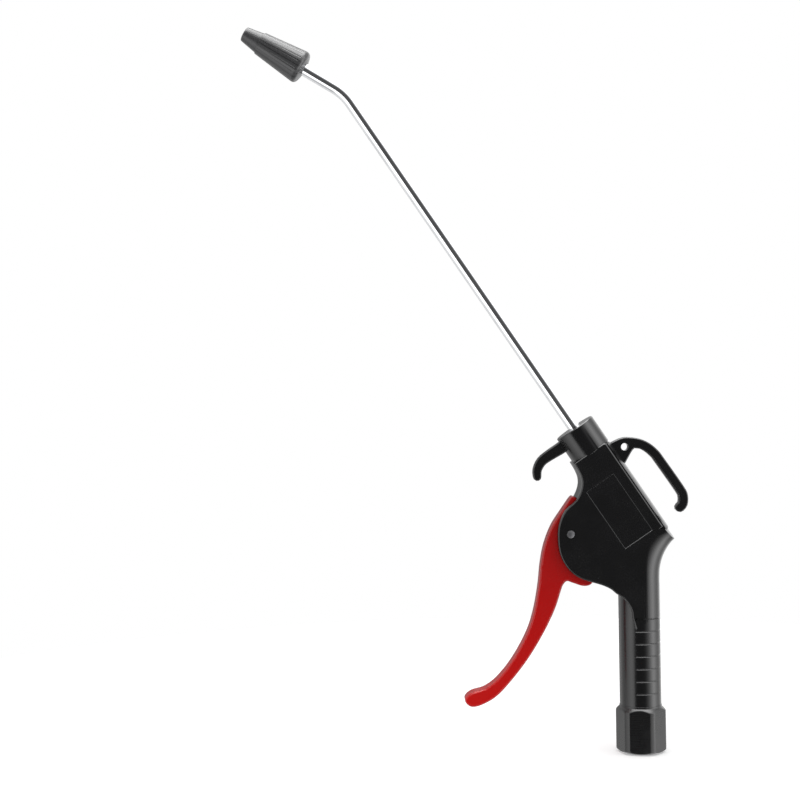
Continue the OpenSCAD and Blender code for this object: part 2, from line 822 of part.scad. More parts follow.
module lever() {
    front = curve(sized(lever_shares, lever_reach, lever_drop), lever_round_steps);
    top = curve(sized(lever_top_shares, lever_reach, lever_drop), lever_round_steps);
    color([0.72, 0.06, 0.07])
        in_head()
            translate([-pivot_reach, 0, pivot_rise])
                difference() {
                    rounded_plate(concat(
                        front,
                        [[pad_reach, lever_drop * pad_low_share], [pad_reach, lever_drop * pad_high_share]],
                        top,
                        sized(lever_corner_shares, lever_reach, lever_drop)
                    ), lever_w, lever_edge_r);
                    rotate([90, 0, 0])
                        cylinder(d = pin_d + 2 * run_gap, h = 2 * lever_w, center = true);
                }
}

pin_chamfer = 0.3;
pin_recess = 0.1;

module pivot_pin() {
    color([0.66, 0.67, 0.68])
        in_head()
            translate([-pivot_reach, cheek_half - pin_recess, pivot_rise])
                rotate([90, 0, 0])
                    chamfered_rod(pin_d, cheek_w - 2 * pin_recess, pin_chamfer);
}

// Brass bush moulded into the collar, which the tube is sealed in
bush_groove = 3.5;

module tube_bush() {
    color([0.80, 0.62, 0.28])
        in_head()
            translate([0, 0, bush_floor + plenum_l + fit_gap])
                difference() {
                    cylinder(d = bush_d, h = bush_l - fit_gap);
                    translate([0, 0, -over])
                        cylinder(d = tube_d + 2 * fit_gap, h = bush_l + 2 * over);
                    translate([0, 0, bush_groove])
                        cylinder(r = tube_d / 2 + ring_t + run_gap, h = ring_t + 2 * run_gap);
                }
}

module tube_o_ring() {
    color([0.12, 0.12, 0.12])
        in_head()
            translate([0, 0, bush_floor + plenum_l + fit_gap + bush_groove + run_gap])
                o_ring(tube_d / 2 + fit_gap);
}

// Section of the tube, with both its walls drawn in by a hair
module tube_section(drawn_in) {
    difference() {
        circle(d = tube_d - drawn_in);
        circle(d = tube_d - 2 * tube_wall + drawn_in);
    }
}

// Long straight run, bend and front run of the tube
module tube() {
    start = bush_floor + plenum_l + fit_gap;
    bend_start = head_rise + collar_l + tube_l;
    color([0.82, 0.83, 0.85])
        union() {
            in_head() {
                translate([0, 0, start])
                    linear_extrude(bend_start - start)
                        tube_section(0);
                translate([-bend_r, 0, bend_start])
                    rotate([90, 0, 0])
                        rotate_extrude(angle = bend_angle)
                            translate([bend_r, 0])
                                tube_section(0);
            }
            in_nozzle()
                translate([0, 0, -front_l - lap])
                    linear_extrude(lap + front_l + nozzle_bore_depth - fit_gap)
                        tube_section(flush_gap);
        }
}

// Moulded cone with a rounded base and fine flutes that fade towards its front
flute_start = 3;
flute_fade_share = 0.72;
flute_lift = 1;
nozzle_groove = 4;
tip_spigot_d = 6;
tip_spigot_l = 6;

module nozzle() {
    base_r = nozzle_d / 2;
    front_r = nozzle_front_d / 2;
    slope = atan((base_r - front_r) / (nozzle_l - nozzle_base_r));
    flute_l = (nozzle_l - flute_start) * flute_fade_share;
    color([0.07, 0.07, 0.075])
        in_nozzle()
            difference() {
                rotate_extrude()
                    polygon(concat(
                        [[0, 0]],
                        arc([base_r - nozzle_base_r, nozzle_base_r], nozzle_base_r, -90, -slope, 8),
                        [[front_r, nozzle_l], [0, nozzle_l]]
                    ));
                translate([0, 0, -over])
                    cylinder(d = tube_d + 2 * fit_gap, h = nozzle_bore_depth + over);
                translate([0, 0, nozzle_groove])
                    cylinder(r = tube_d / 2 + ring_t + run_gap, h = ring_t + 2 * run_gap);
                translate([0, 0, nozzle_bore_depth - over])
                    cylinder(d = nozzle_air_d, h = nozzle_l);
                translate([0, 0, nozzle_l - tip_spigot_l])
                    cylinder(d = tip_spigot_d + 2 * fit_gap, h = tip_spigot_l + over);
                for (i = [0 : flute_count - 1])
                    rotate([0, 0, 360 * (i + 0.5) / flute_count])
                        translate([base_r, 0, flute_start])
                            rotate([0, -slope - flute_lift, 0])
                                rotate([0, 0, 45])
                                    translate([-flute_w / 2, -flute_w / 2, 0])
                                        cube([flute_w, flute_w, flute_l]);
            }
}

module nozzle_o_ring() {
    color([0.12, 0.12, 0.12])
        in_nozzle()
            translate([0, 0, nozzle_groove + run_gap])
                o_ring(tube_d / 2 + fit_gap);
}

// Plain cone in the nozzle's front, with a chamfered mouth
tip_edge = 0.4;

module nozzle_tip() {
    spigot = -tip_spigot_l + fit_gap;
    color([0.08, 0.08, 0.085])
        in_nozzle()
            translate([0, 0, nozzle_l + fit_gap])
                difference() {
                    rotate_extrude()
                        polygon([
                            [0, spigot], [tip_spigot_d / 2, spigot], [tip_spigot_d / 2, 0],
                            [tip_base_d / 2, 0], [tip_end_d / 2, tip_l - tip_edge],
                            [tip_end_d / 2 - tip_edge, tip_l], [0, tip_l]
                        ]);
                    translate([0, 0, spigot - over])
                        cylinder(d = outlet_d, h = tip_l + tip_spigot_l + 2 * over);
                }
}

housing();
inlet_adapter();
inlet_o_ring();
valve_sleeve();
sleeve_front_o_ring();
sleeve_rear_o_ring();
valve_nut();
valve_stem();
stem_o_ring();
poppet_seal();
poppet_washer();
valve_spring();
lever();
pivot_pin();
tube_bush();
tube_o_ring();
tube();
nozzle();
nozzle_o_ring();
nozzle_tip();
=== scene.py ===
import math

import bmesh
import bpy
import numpy as np
from bpy.props import FloatProperty, FloatVectorProperty, IntProperty, PointerProperty
from mathutils import Matrix
from mathutils.geometry import delaunay_2d_cdt


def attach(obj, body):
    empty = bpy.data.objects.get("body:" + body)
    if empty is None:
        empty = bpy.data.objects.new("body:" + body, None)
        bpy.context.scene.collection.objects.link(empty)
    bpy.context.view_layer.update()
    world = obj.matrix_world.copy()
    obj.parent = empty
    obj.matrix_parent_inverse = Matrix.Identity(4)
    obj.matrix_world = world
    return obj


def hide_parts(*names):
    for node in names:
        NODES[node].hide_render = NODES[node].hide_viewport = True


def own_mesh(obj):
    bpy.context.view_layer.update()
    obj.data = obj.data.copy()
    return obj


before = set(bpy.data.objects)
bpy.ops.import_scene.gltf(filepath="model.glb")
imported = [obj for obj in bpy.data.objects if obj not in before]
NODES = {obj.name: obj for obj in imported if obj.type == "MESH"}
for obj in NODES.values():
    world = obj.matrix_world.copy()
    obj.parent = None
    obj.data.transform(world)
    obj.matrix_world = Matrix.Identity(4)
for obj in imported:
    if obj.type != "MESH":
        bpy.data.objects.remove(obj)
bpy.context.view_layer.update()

bl_info = {
    "name": "Pneumatic air duster",
    "version": (1, 0, 0),
    "blender": (4, 5, 0),
    "location": "3D View > Sidebar > Air Duster",
    "description": "Dresses the CAD frame of an air blow gun with pieces, finishes and a studio stage",
    "category": "Add Mesh",
}

MM = 0.001
TURN = 2 * math.pi

# Places, in millimetres

HEAD_TILT = math.radians(33.6)
BEND_ANGLE = math.radians(24.8)
HEAD_ORIGIN = np.array((0.0, 0.0, 111.7))
SIDE = np.array((0.0, 1.0, 0.0))


def leaned(angle):
    """Unit vectors of the gun's middle plane leaned forward by angle: (along, back), with
    along = (-sin, 0, cos) and back = (cos, 0, sin)."""
    return np.array((-math.sin(angle), 0, math.cos(angle))), np.array((math.cos(angle), 0, math.sin(angle)))


HEAD_ALONG, HEAD_BACK = leaned(HEAD_TILT)
FRONT_ALONG, FRONT_BACK = leaned(HEAD_TILT + BEND_ANGLE)


class Place:
    """A frame in millimetres: a local point (x, y, z) stands at origin + x * ex + y * ey + z * ez."""

    def __init__(self, origin, ex, ey, ez):
        self.origin = np.asarray(origin, float)
        self.axes = np.stack((ex, ey, ez)).astype(float)

    def put(self, points):
        """Local points in millimetres, as metres in the gun's own frame."""
        return (np.asarray(points, float) @ self.axes + self.origin) * MM


VALVE_RISE = 3.0
PIN_FORWARD, PIN_RISE = 31.1, 13.9
BEND_START, BEND_RADIUS, FRONT_RUN = 245.3, 25.7, 17.4
PIN_POINT = HEAD_ORIGIN - PIN_FORWARD * HEAD_BACK + PIN_RISE * HEAD_ALONG
BEND_CENTRE = HEAD_ORIGIN + BEND_START * HEAD_ALONG - BEND_RADIUS * HEAD_BACK
NOZZLE_ORIGIN = BEND_CENTRE + BEND_RADIUS * FRONT_BACK + FRONT_RUN * FRONT_ALONG
GRIP_PLACE = Place((0, 0, 0), (1, 0, 0), (0, 1, 0), (0, 0, 1))
VALVE_PLACE = Place(HEAD_ORIGIN + VALVE_RISE * HEAD_ALONG, -HEAD_ALONG, SIDE, HEAD_BACK)
PIN_PLACE = Place(PIN_POINT, HEAD_BACK, HEAD_ALONG, -SIDE)
LEVER_PLACE = Place(PIN_POINT, HEAD_BACK, -SIDE, HEAD_ALONG)
NOZZLE_PLACE = Place(NOZZLE_ORIGIN, FRONT_BACK, SIDE, FRONT_ALONG)


# Surfaces

def add_object(name, mesh):
    """A mesh as an object at the origin, unturned and unscaled."""
    piece = bpy.data.objects.new(name, mesh)
    bpy.context.scene.collection.objects.link(piece)
    return piece


def read_points(mesh):
    """The mesh's points in metres, one in a row."""
    points = np.empty(3 * len(mesh.vertices), np.float32)
    mesh.vertices.foreach_get("co", points)
    return points.reshape(-1, 3).astype(float)


def write_points(mesh, points):
    """Puts the points, in metres, into the mesh."""
    mesh.vertices.foreach_set("co", points.astype(np.float32).ravel())


def change_shell(mesh, change):
    """Runs change(shell) on the mesh's faces, edges and points."""
    shell = bmesh.new()
    shell.from_mesh(mesh)
    change(shell)
    shell.to_mesh(mesh)
    shell.free()
    mesh.update()


def merge_points(mesh, distance=1e-7):
    """Merges the mesh's points that lie within the distance in metres."""
    change_shell(mesh, lambda shell: bmesh.ops.remove_doubles(shell, verts=shell.verts, dist=distance))


def round_angles(count):
    """Angles in equal steps once round, from 0."""
    return np.arange(count) / count * TURN


def grid_mesh(name, points, close_rows=True, sharp=40):
    """Mesh of a grid of points (rows, columns, 3) in metres. Quad (i, j) joins points (i, j), (i, j+1),
    (i+1, j+1) and (i+1, j). Columns always close on themselves. Rows do so where close_rows says it, and
    otherwise the points that meet on the axis are merged. The UV map runs once round the columns in u and
    gives the length along the rows, in metres, in v. Edges over sharp degrees stay sharp."""
    rows, columns = points.shape[:2]
    i, j = np.meshgrid(np.arange(rows if close_rows else rows - 1), np.arange(columns), indexing="ij")
    here, below, beside = i * columns, (i + 1) % rows * columns, (j + 1) % columns
    quads = np.stack((here + j, here + beside, below + beside, below + j), -1)
    mesh = bpy.data.meshes.new(name)
    mesh.vertices.add(rows * columns)
    write_points(mesh, points)
    mesh.loops.add(quads.size)
    mesh.loops.foreach_set("vertex_index", quads.reshape(-1).astype(np.int32))
    mesh.polygons.add(quads.size // 4)
    mesh.polygons.foreach_set("loop_start", np.arange(0, quads.size, 4, dtype=np.int32))
    mesh.update(calc_edges=True)
    steps = np.linalg.norm(np.roll(points, -1, 0) - points, axis=-1).mean(1)
    length = np.concatenate(((0,), np.cumsum(steps)))
    u = np.stack((j, j + 1, j + 1, j), -1) / columns
    v = np.stack((length[i], length[i], length[i + 1], length[i + 1]), -1)
    layer = mesh.uv_layers.new(name="UVMap")
    layer.data.foreach_set("uv", np.stack((u, v), -1).reshape(-1).astype(np.float32))
    shade_smooth(mesh, sharp)
    if not close_rows:
        merge_points(mesh)
    return mesh


def shade_smooth(mesh, sharp):
    """Smooth shading, with the edges over sharp degrees kept sharp."""
    mesh.polygons.foreach_set("use_smooth", np.ones(len(mesh.polygons), bool))
    mesh.set_sharp_from_angle(angle=math.radians(sharp))
    mesh.update()


def lengths(vectors):
    """The vectors' lengths, as a last axis of one."""
    return np.linalg.norm(vectors, axis=-1, keepdims=True)


def rounded(corners, cuts, steps=4):
    """Closed profile through corners (n, columns, 2), each corner P softened over its cut c. With A and B the
    points c before and after P, the profile there is (1-t)^2 A + 2t(1-t) P + t^2 B for t from 0 to 1 in equal
    steps."""
    before = np.roll(corners, 1, 0) - corners
    after = np.roll(corners, -1, 0) - corners
    cuts = np.asarray(cuts, float)[:, None, None]
    a = corners + before / np.maximum(lengths(before), 1e-9) * cuts
    b = corners + after / np.maximum(lengths(after), 1e-9) * cuts
    t = np.linspace(0, 1, steps + 1)[None, :, None, None]
    curve = (1 - t) ** 2 * a[:, None] + 2 * t * (1 - t) * corners[:, None] + t ** 2 * b[:, None]
    return curve.reshape(-1, *corners.shape[1:])


def split_long(profile, longest):
    """The closed profile (n, columns, 2) with equal steps put into each stretch, so that none is longer than
    longest on the average of the columns."""
    following = np.roll(profile, -1, 0)
    counts = np.ceil(lengths(following - profile)[..., 0].mean(1) / longest).astype(int).clip(1)
    start = np.repeat(np.arange(len(profile)), counts)
    share = np.concatenate([np.arange(c) / c for c in counts])[:, None, None]
    return profile[start] * (1 - share) + following[start] * share


def face_corners(mesh):
    """For every corner of the mesh's faces, its face's normal, its point's number and its opening angle."""
    faces = len(mesh.polygons)
    normals, count, point = np.empty(3 * faces), np.empty(faces, int), np.empty(len(mesh.loops), int)
    mesh.polygons.foreach_get("normal", normals)
    mesh.polygons.foreach_get("loop_total", count)
    mesh.loops.foreach_get("vertex_index", point)
    face = np.repeat(np.arange(faces), count)
    first = np.repeat(np.cumsum(count) - count, count)
    step, size = np.arange(len(point)) - first, count[face]
    places = read_points(mesh)[point]
    ahead = places[first + (step + 1) % size] - places
    behind = places[first + (step - 1) % size] - places
    cosine = (ahead * behind).sum(1) / ((lengths(ahead) * lengths(behind))[:, 0] + 1e-18)
    return normals.reshape(-1, 3)[face], point, np.arccos(np.clip(cosine, -1, 1))


def lay_normals(mesh, limit):
    """Gives each face corner its normal: on the flats of the two sides the flat's own, also to a rounding
    that runs out there, and elsewhere the mean over the point's faces that lean less than limit from this
    one, each weighed by its angle at the point. Every corner is paired with each corner of its point."""
    normal, point, opening = face_corners(mesh)
    flat = np.abs(normal[:, 1]) > 0.9999
    shared = np.bincount(point)
    start, count = (np.cumsum(shared) - shared)[point], shared[point]
    own = np.repeat(np.arange(len(point)), count)
    turn = np.arange(len(own)) - np.repeat(np.cumsum(count) - count, count)
    other = np.argsort(point, kind="stable")[start[own] + turn]
    near = (normal[own] * normal[other]).sum(1) > math.cos(limit)
    on_flat = near & flat[other]
    at_flat = np.bincount(own, on_flat) > 0
    weight = np.where(at_flat[own], on_flat, near) * (opening[other] + 1e-6)
    mean = np.stack([np.bincount(own, weight * normal[other, k]) for k in range(3)], -1)
    mesh.polygons.foreach_set("use_smooth", np.ones(len(mesh.polygons), bool))
    mesh.normals_split_custom_set(mean / lengths(mean))


def around(r, a, z):
    """The points (r cos a, r sin a, z)."""
    return np.stack((r * np.cos(a), r * np.sin(a), z), -1)


def turned_points(profile, place):
    """Points of a turned piece: a profile point (r, z) of column j stands around the axis at the column's
    angle. The profile (n, columns, 2) may differ from column to column."""
    return place.put(around(profile[..., 0], round_angles(profile.shape[1]), profile[..., 1]))


def carried_circle(path, first, second, radius, count):
    """A circle carried along a path (n, 3): path + radius (first cos a + second sin a) at each point, with
    the unit vectors first and second (n or 1, 3) and count angles a."""
    a = round_angles(count)[None, :, None]
    return path[:, None] + radius * (first[:, None] * np.cos(a) + second[:, None] * np.sin(a))


def same_all_round(corners, columns):
    """The profile corners [(r, z), ...] repeated for every column."""
    return np.repeat(np.asarray(corners, float)[:, None, :], columns, 1)


def smooth_loop(points, steps):
    """Closed curve through the points. Between b and c, with neighbours a and d, it is the cubic
    (2b + (c-a)t + (2a-5b+4c-d)t^2 + (3b-a-3c+d)t^3) / 2 for t from 0 to 1."""
    b = np.asarray(points, float)
    a, c, d = np.roll(b, 1, 0), np.roll(b, -1, 0), np.roll(b, -2, 0)
    t = (np.arange(steps) / steps)[None, :, None]
    a, b, c, d = (q[:, None, :] for q in (a, b, c, d))
    return ((2 * b + (c - a) * t + (2 * a - 5 * b + 4 * c - d) * t ** 2
             + (3 * b - a - 3 * c + d) * t ** 3) / 2).reshape(-1, 2)


def even_loop(points, count):
    """The closed polyline walked in count equal steps of length."""
    closed = np.concatenate((points, points[:1]))
    along = np.concatenate(((0,), np.cumsum(np.linalg.norm(np.diff(closed, axis=0), axis=1))))
    places = np.arange(count) / count * along[-1]
    return np.stack([np.interp(places, along, closed[:, k]) for k in (0, 1)], -1)


def edge_widths(outline, inward, edge):
    """How far the round edge reaches in at each point of the outline: edge, and less round a tight turn, so
    that no step of the inner outline is under kept_least of the outer one's."""
    kept_least, shrink, rounds, reach = 0.3, 0.93, 60, range(-5, 7)
    step = np.roll(outline, -1, 0) - outline
    width = np.full(len(outline), float(edge))
    for _ in range(rounds):
        inner = outline + inward * width[:, None]
        kept = ((np.roll(inner, -1, 0) - inner) * step).sum(1) / (step * step).sum(1)
        near = np.min([np.roll(kept, k) for k in reach], axis=0)
        width = np.where(near < kept_least, width * shrink, width)
        width = np.minimum(width, (np.roll(width, 1) + width + np.roll(width, -1)) / 3)
    return width


def filled_face(border, ring, hole):
    """Triangles between the flat border and the ring of points round the hole (x, z, r). A triangle's numbers
    count through the border's points and then the ring's."""
    inner, outer = np.arange(len(border)), np.arange(len(ring)) + len(border)
    edges = np.concatenate([np.stack((k, np.roll(k, -1)), -1) for k in (inner, outer)])
    points, _, faces, origins, _, _ = delaunay_2d_cdt(
        np.concatenate((border, ring)).tolist(), edges.tolist(), [], 1, 1e-7)
    faces = np.array(faces)
    middles = np.array(points)[faces].mean(1)
    outside = np.hypot(middles[:, 0] - hole[0], middles[:, 1] - hole[1]) > hole[2] * 0.98
    return np.array([numbers[0] for numbers in origins])[faces[outside]]


def plate_mesh(name, outline, thickness, edge, hole, place, steps=8, hole_points=64):
    """Flat plate in the middle plane with round edges. At the edge angle b from -90 to 90 degrees the outline
    is moved in by e(1 - cos b) along its normal and stands at y = (thickness/2 - e) * sign(b) + e sin b, with
    e = edge, less where the outline turns tightly. Its two flat faces are filled round the hole (x, z, r),
    whose wall is plain."""
    n = len(outline)
    tangent = np.roll(outline, -1, 0) - np.roll(outline, 1, 0)
    tangent /= lengths(tangent)
    inward = np.stack((-tangent[:, 1], tangent[:, 0]), -1)
    soft = edge_widths(outline, inward, edge)
    half = np.radians(np.linspace(0, 90, steps + 1))
    b = np.concatenate((-half[::-1], half))
    side = np.repeat((-1, 1), steps + 1)
    flat = outline[None] + inward[None] * (soft[None] * (1 - np.cos(b))[:, None])[..., None]
    y = side[:, None] * (thickness / 2 - soft)[None] + soft * np.sin(b)[:, None]
    rows = np.stack((flat[..., 0], y, flat[..., 1]), -1)
    turn = round_angles(hole_points)
    ring = np.stack((hole[0] + hole[2] * np.cos(turn), hole[1] + hole[2] * np.sin(turn)), -1)
    rings = [np.insert(ring, 1, s * thickness / 2, axis=1) for s in (-1, 1)]
    points = np.concatenate((rows.reshape(-1, 3), *rings))
    last, low = (len(b) - 1) * n, len(b) * n
    high = low + hole_points
    fills = filled_face(flat[-1], ring, hole)
    top = np.where(fills < n, last + fills, high + fills - n)
    bottom = np.where(fills < n, fills, low + fills - n)
    i, j = np.meshgrid(np.arange(len(b) - 1), np.arange(n), indexing="ij")
    beside = (j + 1) % n
    walls = np.stack((i * n + j, (i + 1) * n + j, (i + 1) * n + beside, i * n + beside), -1).reshape(-1, 4)
    k = np.arange(hole_points)
    ahead = (k + 1) % hole_points
    bore = np.stack((low + k, low + ahead, high + ahead, high + k), -1)
    faces = walls.tolist() + bore.tolist() + top[:, ::-1].tolist() + bottom.tolist()
    mesh = bpy.data.meshes.new(name)
    mesh.from_pydata(place.put(points).tolist(), [], faces)
    change_shell(mesh, lambda shell: bmesh.ops.recalc_face_normals(shell, faces=shell.faces))
    shade_smooth(mesh, 50)
    return mesh


# Finishes

def group_tree(name, inputs, outputs):
    """New shader node group with number sockets: inputs {name: default} and the names of its outputs."""
    tree = bpy.data.node_groups.new(name, "ShaderNodeTree")
    for label, default in inputs.items():
        socket = tree.interface.new_socket(label, in_out="INPUT", socket_type="NodeSocketFloat")
        socket.default_value = default
    for label in outputs:
        tree.interface.new_socket(label, in_out="OUTPUT", socket_type="NodeSocketFloat")
    return tree, tree.nodes.new("NodeGroupInput").outputs, tree.nodes.new("NodeGroupOutput").inputs


def add_node(tree, kind, inputs=(), **settings):
    """New shader node of that kind with these settings. Each of its inputs {label or number: value} is set to
    the value, or linked to it where it is a socket. Gives the node's outputs."""
    node = tree.nodes.new("ShaderNode" + kind)
    for label, value in settings.items():
        setattr(node, label, value)
    for label, value in dict(inputs).items():
        if isinstance(value, bpy.types.NodeSocket):
            tree.links.new(value, node.inputs[label])
        else:
            node.inputs[label].default_value = value
    return node.outputs


def math_node(tree, operation, *values, clamp=False):
    """Math node on numbers and sockets."""
    return add_node(tree, "Math", enumerate(values), operation=operation, use_clamp=clamp)[0]


def mixed_number(tree, factor, first, second):
    """Number from first to second by the factor. A Mix node's numbers are its inputs 2 and 3."""
    return add_node(tree, "Mix", {"Factor": factor, 2: first, 3: second})[0]


def mixed_colour(tree, factor, first, second):
    """Colour from first to second by the factor, each a colour or a socket. A Mix node's colours are its
    inputs 6 and 7 and its output 2."""
    first, second = (c if isinstance(c, bpy.types.NodeSocket) else (*c, 1.0) for c in (first, second))
    return add_node(tree, "Mix", {"Factor": factor, 6: first, 7: second}, data_type="RGBA")[2]


def mixed_shader(tree, factor, first, second):
    """Shader that goes from first to second by the factor."""
    return add_node(tree, "MixShader", {0: factor, 1: first, 2: second})[0]


def noise_node(tree, vector, scale, detail=2.0, roughness=0.5):
    """Noise texture on a vector; scale is a number or a socket."""
    return add_node(
        tree, "TexNoise", {"Vector": vector, "Scale": scale, "Detail": detail, "Roughness": roughness})["Fac"]


def map_node(tree, value, source, target=(0.0, 1.0), smooth=False):
    """Map Range node, clamped, from the range source (low, high) to the range target."""
    ends = {"From Min": source[0], "From Max": source[1], "To Min": target[0], "To Max": target[1]}
    kind = "SMOOTHSTEP" if smooth else "LINEAR"
    return add_node(tree, "MapRange", {"Value": value, **ends}, interpolation_type=kind)["Result"]


def coordinates(tree, kind):
    """Texture coordinates of that kind."""
    return add_node(tree, "TexCoord")[kind]


def split_vector(tree, vector):
    """The vector's x, y and z."""
    return add_node(tree, "SeparateXYZ", {0: vector})


def mould_grain_group():
    """Height = fine grain noise plus a third of a slow swell; Blotch = slow noise from 0 to 1."""
    tree, given, result = group_tree(
        "mould_grain", {"Grain Scale": 2600.0, "Swell Scale": 90.0}, ("Height", "Blotch"))
    where = coordinates(tree, "Object")
    grain = noise_node(tree, where, given["Grain Scale"], detail=3.0, roughness=0.6)
    swell = noise_node(tree, where, given["Swell Scale"])
    tree.links.new(math_node(tree, "MULTIPLY_ADD", swell, 0.33, grain), result["Height"])
    tree.links.new(map_node(tree, swell, (0.35, 0.65), smooth=True), result["Blotch"])


def handling_marks_group():
    """Marks = hairlines, noise stretched thirty to one along two slanting directions and cut off above a
    level, shown only where a slow noise is high; Smudge = soft patches from 0 to 1."""
    tree, given, result = group_tree("handling_marks", {"Scale": 120.0, "Level": 0.66}, ("Marks", "Smudge"))
    where = coordinates(tree, "Object")
    lines = []
    for slant in ((0.3, 0.5, 0.9), (-0.6, 0.2, -0.5)):
        turned = {"Vector": where, "Rotation": slant, "Scale": (30.0, 1.0, 30.0)}
        stretched = add_node(tree, "Mapping", turned)["Vector"]
        lines.append(noise_node(tree, stretched, given["Scale"], detail=1.0, roughness=0.4))
    cut = math_node(tree, "SUBTRACT", math_node(tree, "MAXIMUM", *lines), given["Level"])
    sharpened = math_node(tree, "MULTIPLY", cut, 12.0)
    patch = map_node(tree, noise_node(tree, where, scale=45.0), (0.45, 0.65), smooth=True)
    tree.links.new(math_node(tree, "MULTIPLY", sharpened, patch, clamp=True), result["Marks"])
    soft = noise_node(tree, where, scale=70.0, detail=4.0, roughness=0.6)
    tree.links.new(map_node(tree, soft, (0.4, 0.7), smooth=True), result["Smudge"])


def tool_lines_group():
    """Lines = noise along one coordinate only, at the given number of lines for each unit of it."""
    tree, given, result = group_tree("tool_lines", {"Coordinate": 0.0, "Lines": 3000.0}, ("Lines",))
    along = math_node(tree, "MULTIPLY", given["Coordinate"], given["Lines"])
    noise = add_node(tree, "TexNoise", {"W": along, "Scale": 1.0, "Detail": 3.0}, noise_dimensions="1D")
    tree.links.new(noise["Fac"], result["Lines"])


def place_group(tree, name, values):
    """Puts the shared group name into a material, with its own values."""
    return add_node(tree, "Group", values, node_tree=bpy.data.node_groups[name])


def new_material(name, colour, metallic=0.0, ior=1.5):
    """Material with a Principled shader whose plain values are set on its own sockets."""
    made = bpy.data.materials.new(name)
    made.use_nodes = True
    made.diffuse_color = (*colour, 1.0)
    shader = made.node_tree.nodes["Principled BSDF"]
    shader.inputs["Base Color"].default_value = (*colour, 1.0)
    shader.inputs["Metallic"].default_value = metallic
    shader.inputs["IOR"].default_value = ior
    return made.node_tree, shader


def dress(tree, shader, colour, roughness, height, strength, depth):
    """Links the shader to a colour, a roughness and a bump from the height; depth is in metres."""
    tree.links.new(colour, shader.inputs["Base Color"])
    tree.links.new(roughness, shader.inputs["Roughness"])
    normal = add_node(tree, "Bump", {"Height": height, "Strength": strength, "Distance": depth})["Normal"]
    tree.links.new(normal, shader.inputs["Normal"])


def add_shares(tree, base, *shares):
    """The number base plus each socket times its share, as a socket: shares are (socket, share)."""
    total = base
    for socket, share in shares:
        total = math_node(tree, "MULTIPLY_ADD", socket, share, total)
    return total


def moulded_plastic(name, colour, worn_colour, roughness, grain_scale, grain_depth, mark_share=0.35, ior=1.5,
                    painted_light_colour=None, painted_light_heights=(0.0, 1.0)):
    """Moulded nylon: fine grain, a slow change of gloss, hairlines from handling and soft smudges. With a
    colour for one end, the plain colour turns to it from the first of the given heights, in metres, to the
    second: painted light, which makes the piece lighter towards that end as if more light fell there."""
    tree, shader = new_material(name, colour, ior=ior)
    grain = place_group(tree, "mould_grain", {"Grain Scale": grain_scale, "Swell Scale": 90.0})
    marks = place_group(tree, "handling_marks", {"Scale": 130.0, "Level": 0.64})
    plain = colour
    # painted light: the colour turns lighter towards one end, standing in for more light falling there
    if painted_light_colour:
        height = split_vector(tree, coordinates(tree, "Object"))["Z"]
        plain = mixed_colour(tree, map_node(tree, height, painted_light_heights), colour, painted_light_colour)
    shade = math_node(tree, "MULTIPLY", marks["Marks"], mark_share)
    tint = math_node(tree, "MULTIPLY_ADD", grain["Blotch"], 0.06, shade)
    rough = add_shares(
        tree, roughness - 0.02, (grain["Blotch"], 0.02), (marks["Smudge"], 0.03), (marks["Marks"], 0.18))
    worn = mixed_colour(tree, tint, plain, worn_colour)
    dress(tree, shader, worn, rough, grain["Height"], strength=0.25, depth=grain_depth)
    return tree, shader


def darken_flutes(tree, shader, flutes, share):
    """Darkens the nozzle's plastic in its flutes, where less light comes, by a wave of the UV map's turn."""
    base = shader.inputs["Base Color"]
    plain = base.links[0].from_socket
    turn = split_vector(tree, coordinates(tree, "UV"))["X"]
    wave = math_node(tree, "COSINE", math_node(tree, "MULTIPLY_ADD", turn, flutes * TURN, math.pi))
    mask = map_node(tree, wave, (0.2, 1.0), (0.0, share))
    tree.links.new(mixed_colour(tree, mask, plain, (0, 0, 0)), base)


def chrome_plate(name, colour, dull_share):
    """Bright plating on a drawn tube: faint lines along it, from the UV map's turn, and soft smudges."""
    tree, shader = new_material(name, colour, metallic=1.0)
    turn = split_vector(tree, coordinates(tree, "UV"))["X"]
    lines = place_group(tree, "tool_lines", {"Coordinate": turn, "Lines": 70.0})["Lines"]
    marks = place_group(tree, "handling_marks", {"Scale": 90.0, "Level": 0.68})
    rough = add_shares(tree, 0.05, (marks["Smudge"], 0.035), (lines, 0.03), (marks["Marks"], 0.12))
    smudged = mixed_colour(tree, marks["Smudge"], colour, tuple(dull_share * c for c in colour))
    dress(tree, shader, smudged, rough, lines, strength=0.12, depth=0.00002)


def turned_metal(name, colour, dull, roughness, lines_for_metre, axis, metallic=1.0, depth=0.00003):
    """Turned metal: tool lines across the given axis and duller patches."""
    tree, shader = new_material(name, colour, metallic=metallic)
    where = coordinates(tree, "Object")
    along = add_node(tree, "VectorMath", {0: where, 1: axis}, operation="DOT_PRODUCT")["Value"]
    lines = place_group(tree, "tool_lines", {"Coordinate": along, "Lines": lines_for_metre})["Lines"]
    smudge = place_group(tree, "handling_marks", {"Scale": 140.0, "Level": 0.66})["Smudge"]
    tint = math_node(tree, "MULTIPLY_ADD", lines, 0.35, math_node(tree, "MULTIPLY", smudge, 0.5))
    rough = add_shares(tree, roughness - 0.05, (lines, 0.12), (smudge, 0.08))
    dress(tree, shader, mixed_colour(tree, tint, colour, dull), rough, lines, strength=0.3, depth=depth)


def seal_rubber(name, colour, bloom):
    """Rubber of the rings and the seal: dull, with a fine grain and a grey bloom in patches."""
    tree, shader = new_material(name, colour)
    grain = place_group(tree, "mould_grain", {"Grain Scale": 5200.0, "Swell Scale": 240.0})
    bloomed = mixed_colour(tree, grain["Blotch"], colour, bloom)
    rough = add_shares(tree, 0.5, (grain["Blotch"], 0.15))
    dress(tree, shader, bloomed, rough, grain["Height"], strength=0.3, depth=0.00003)


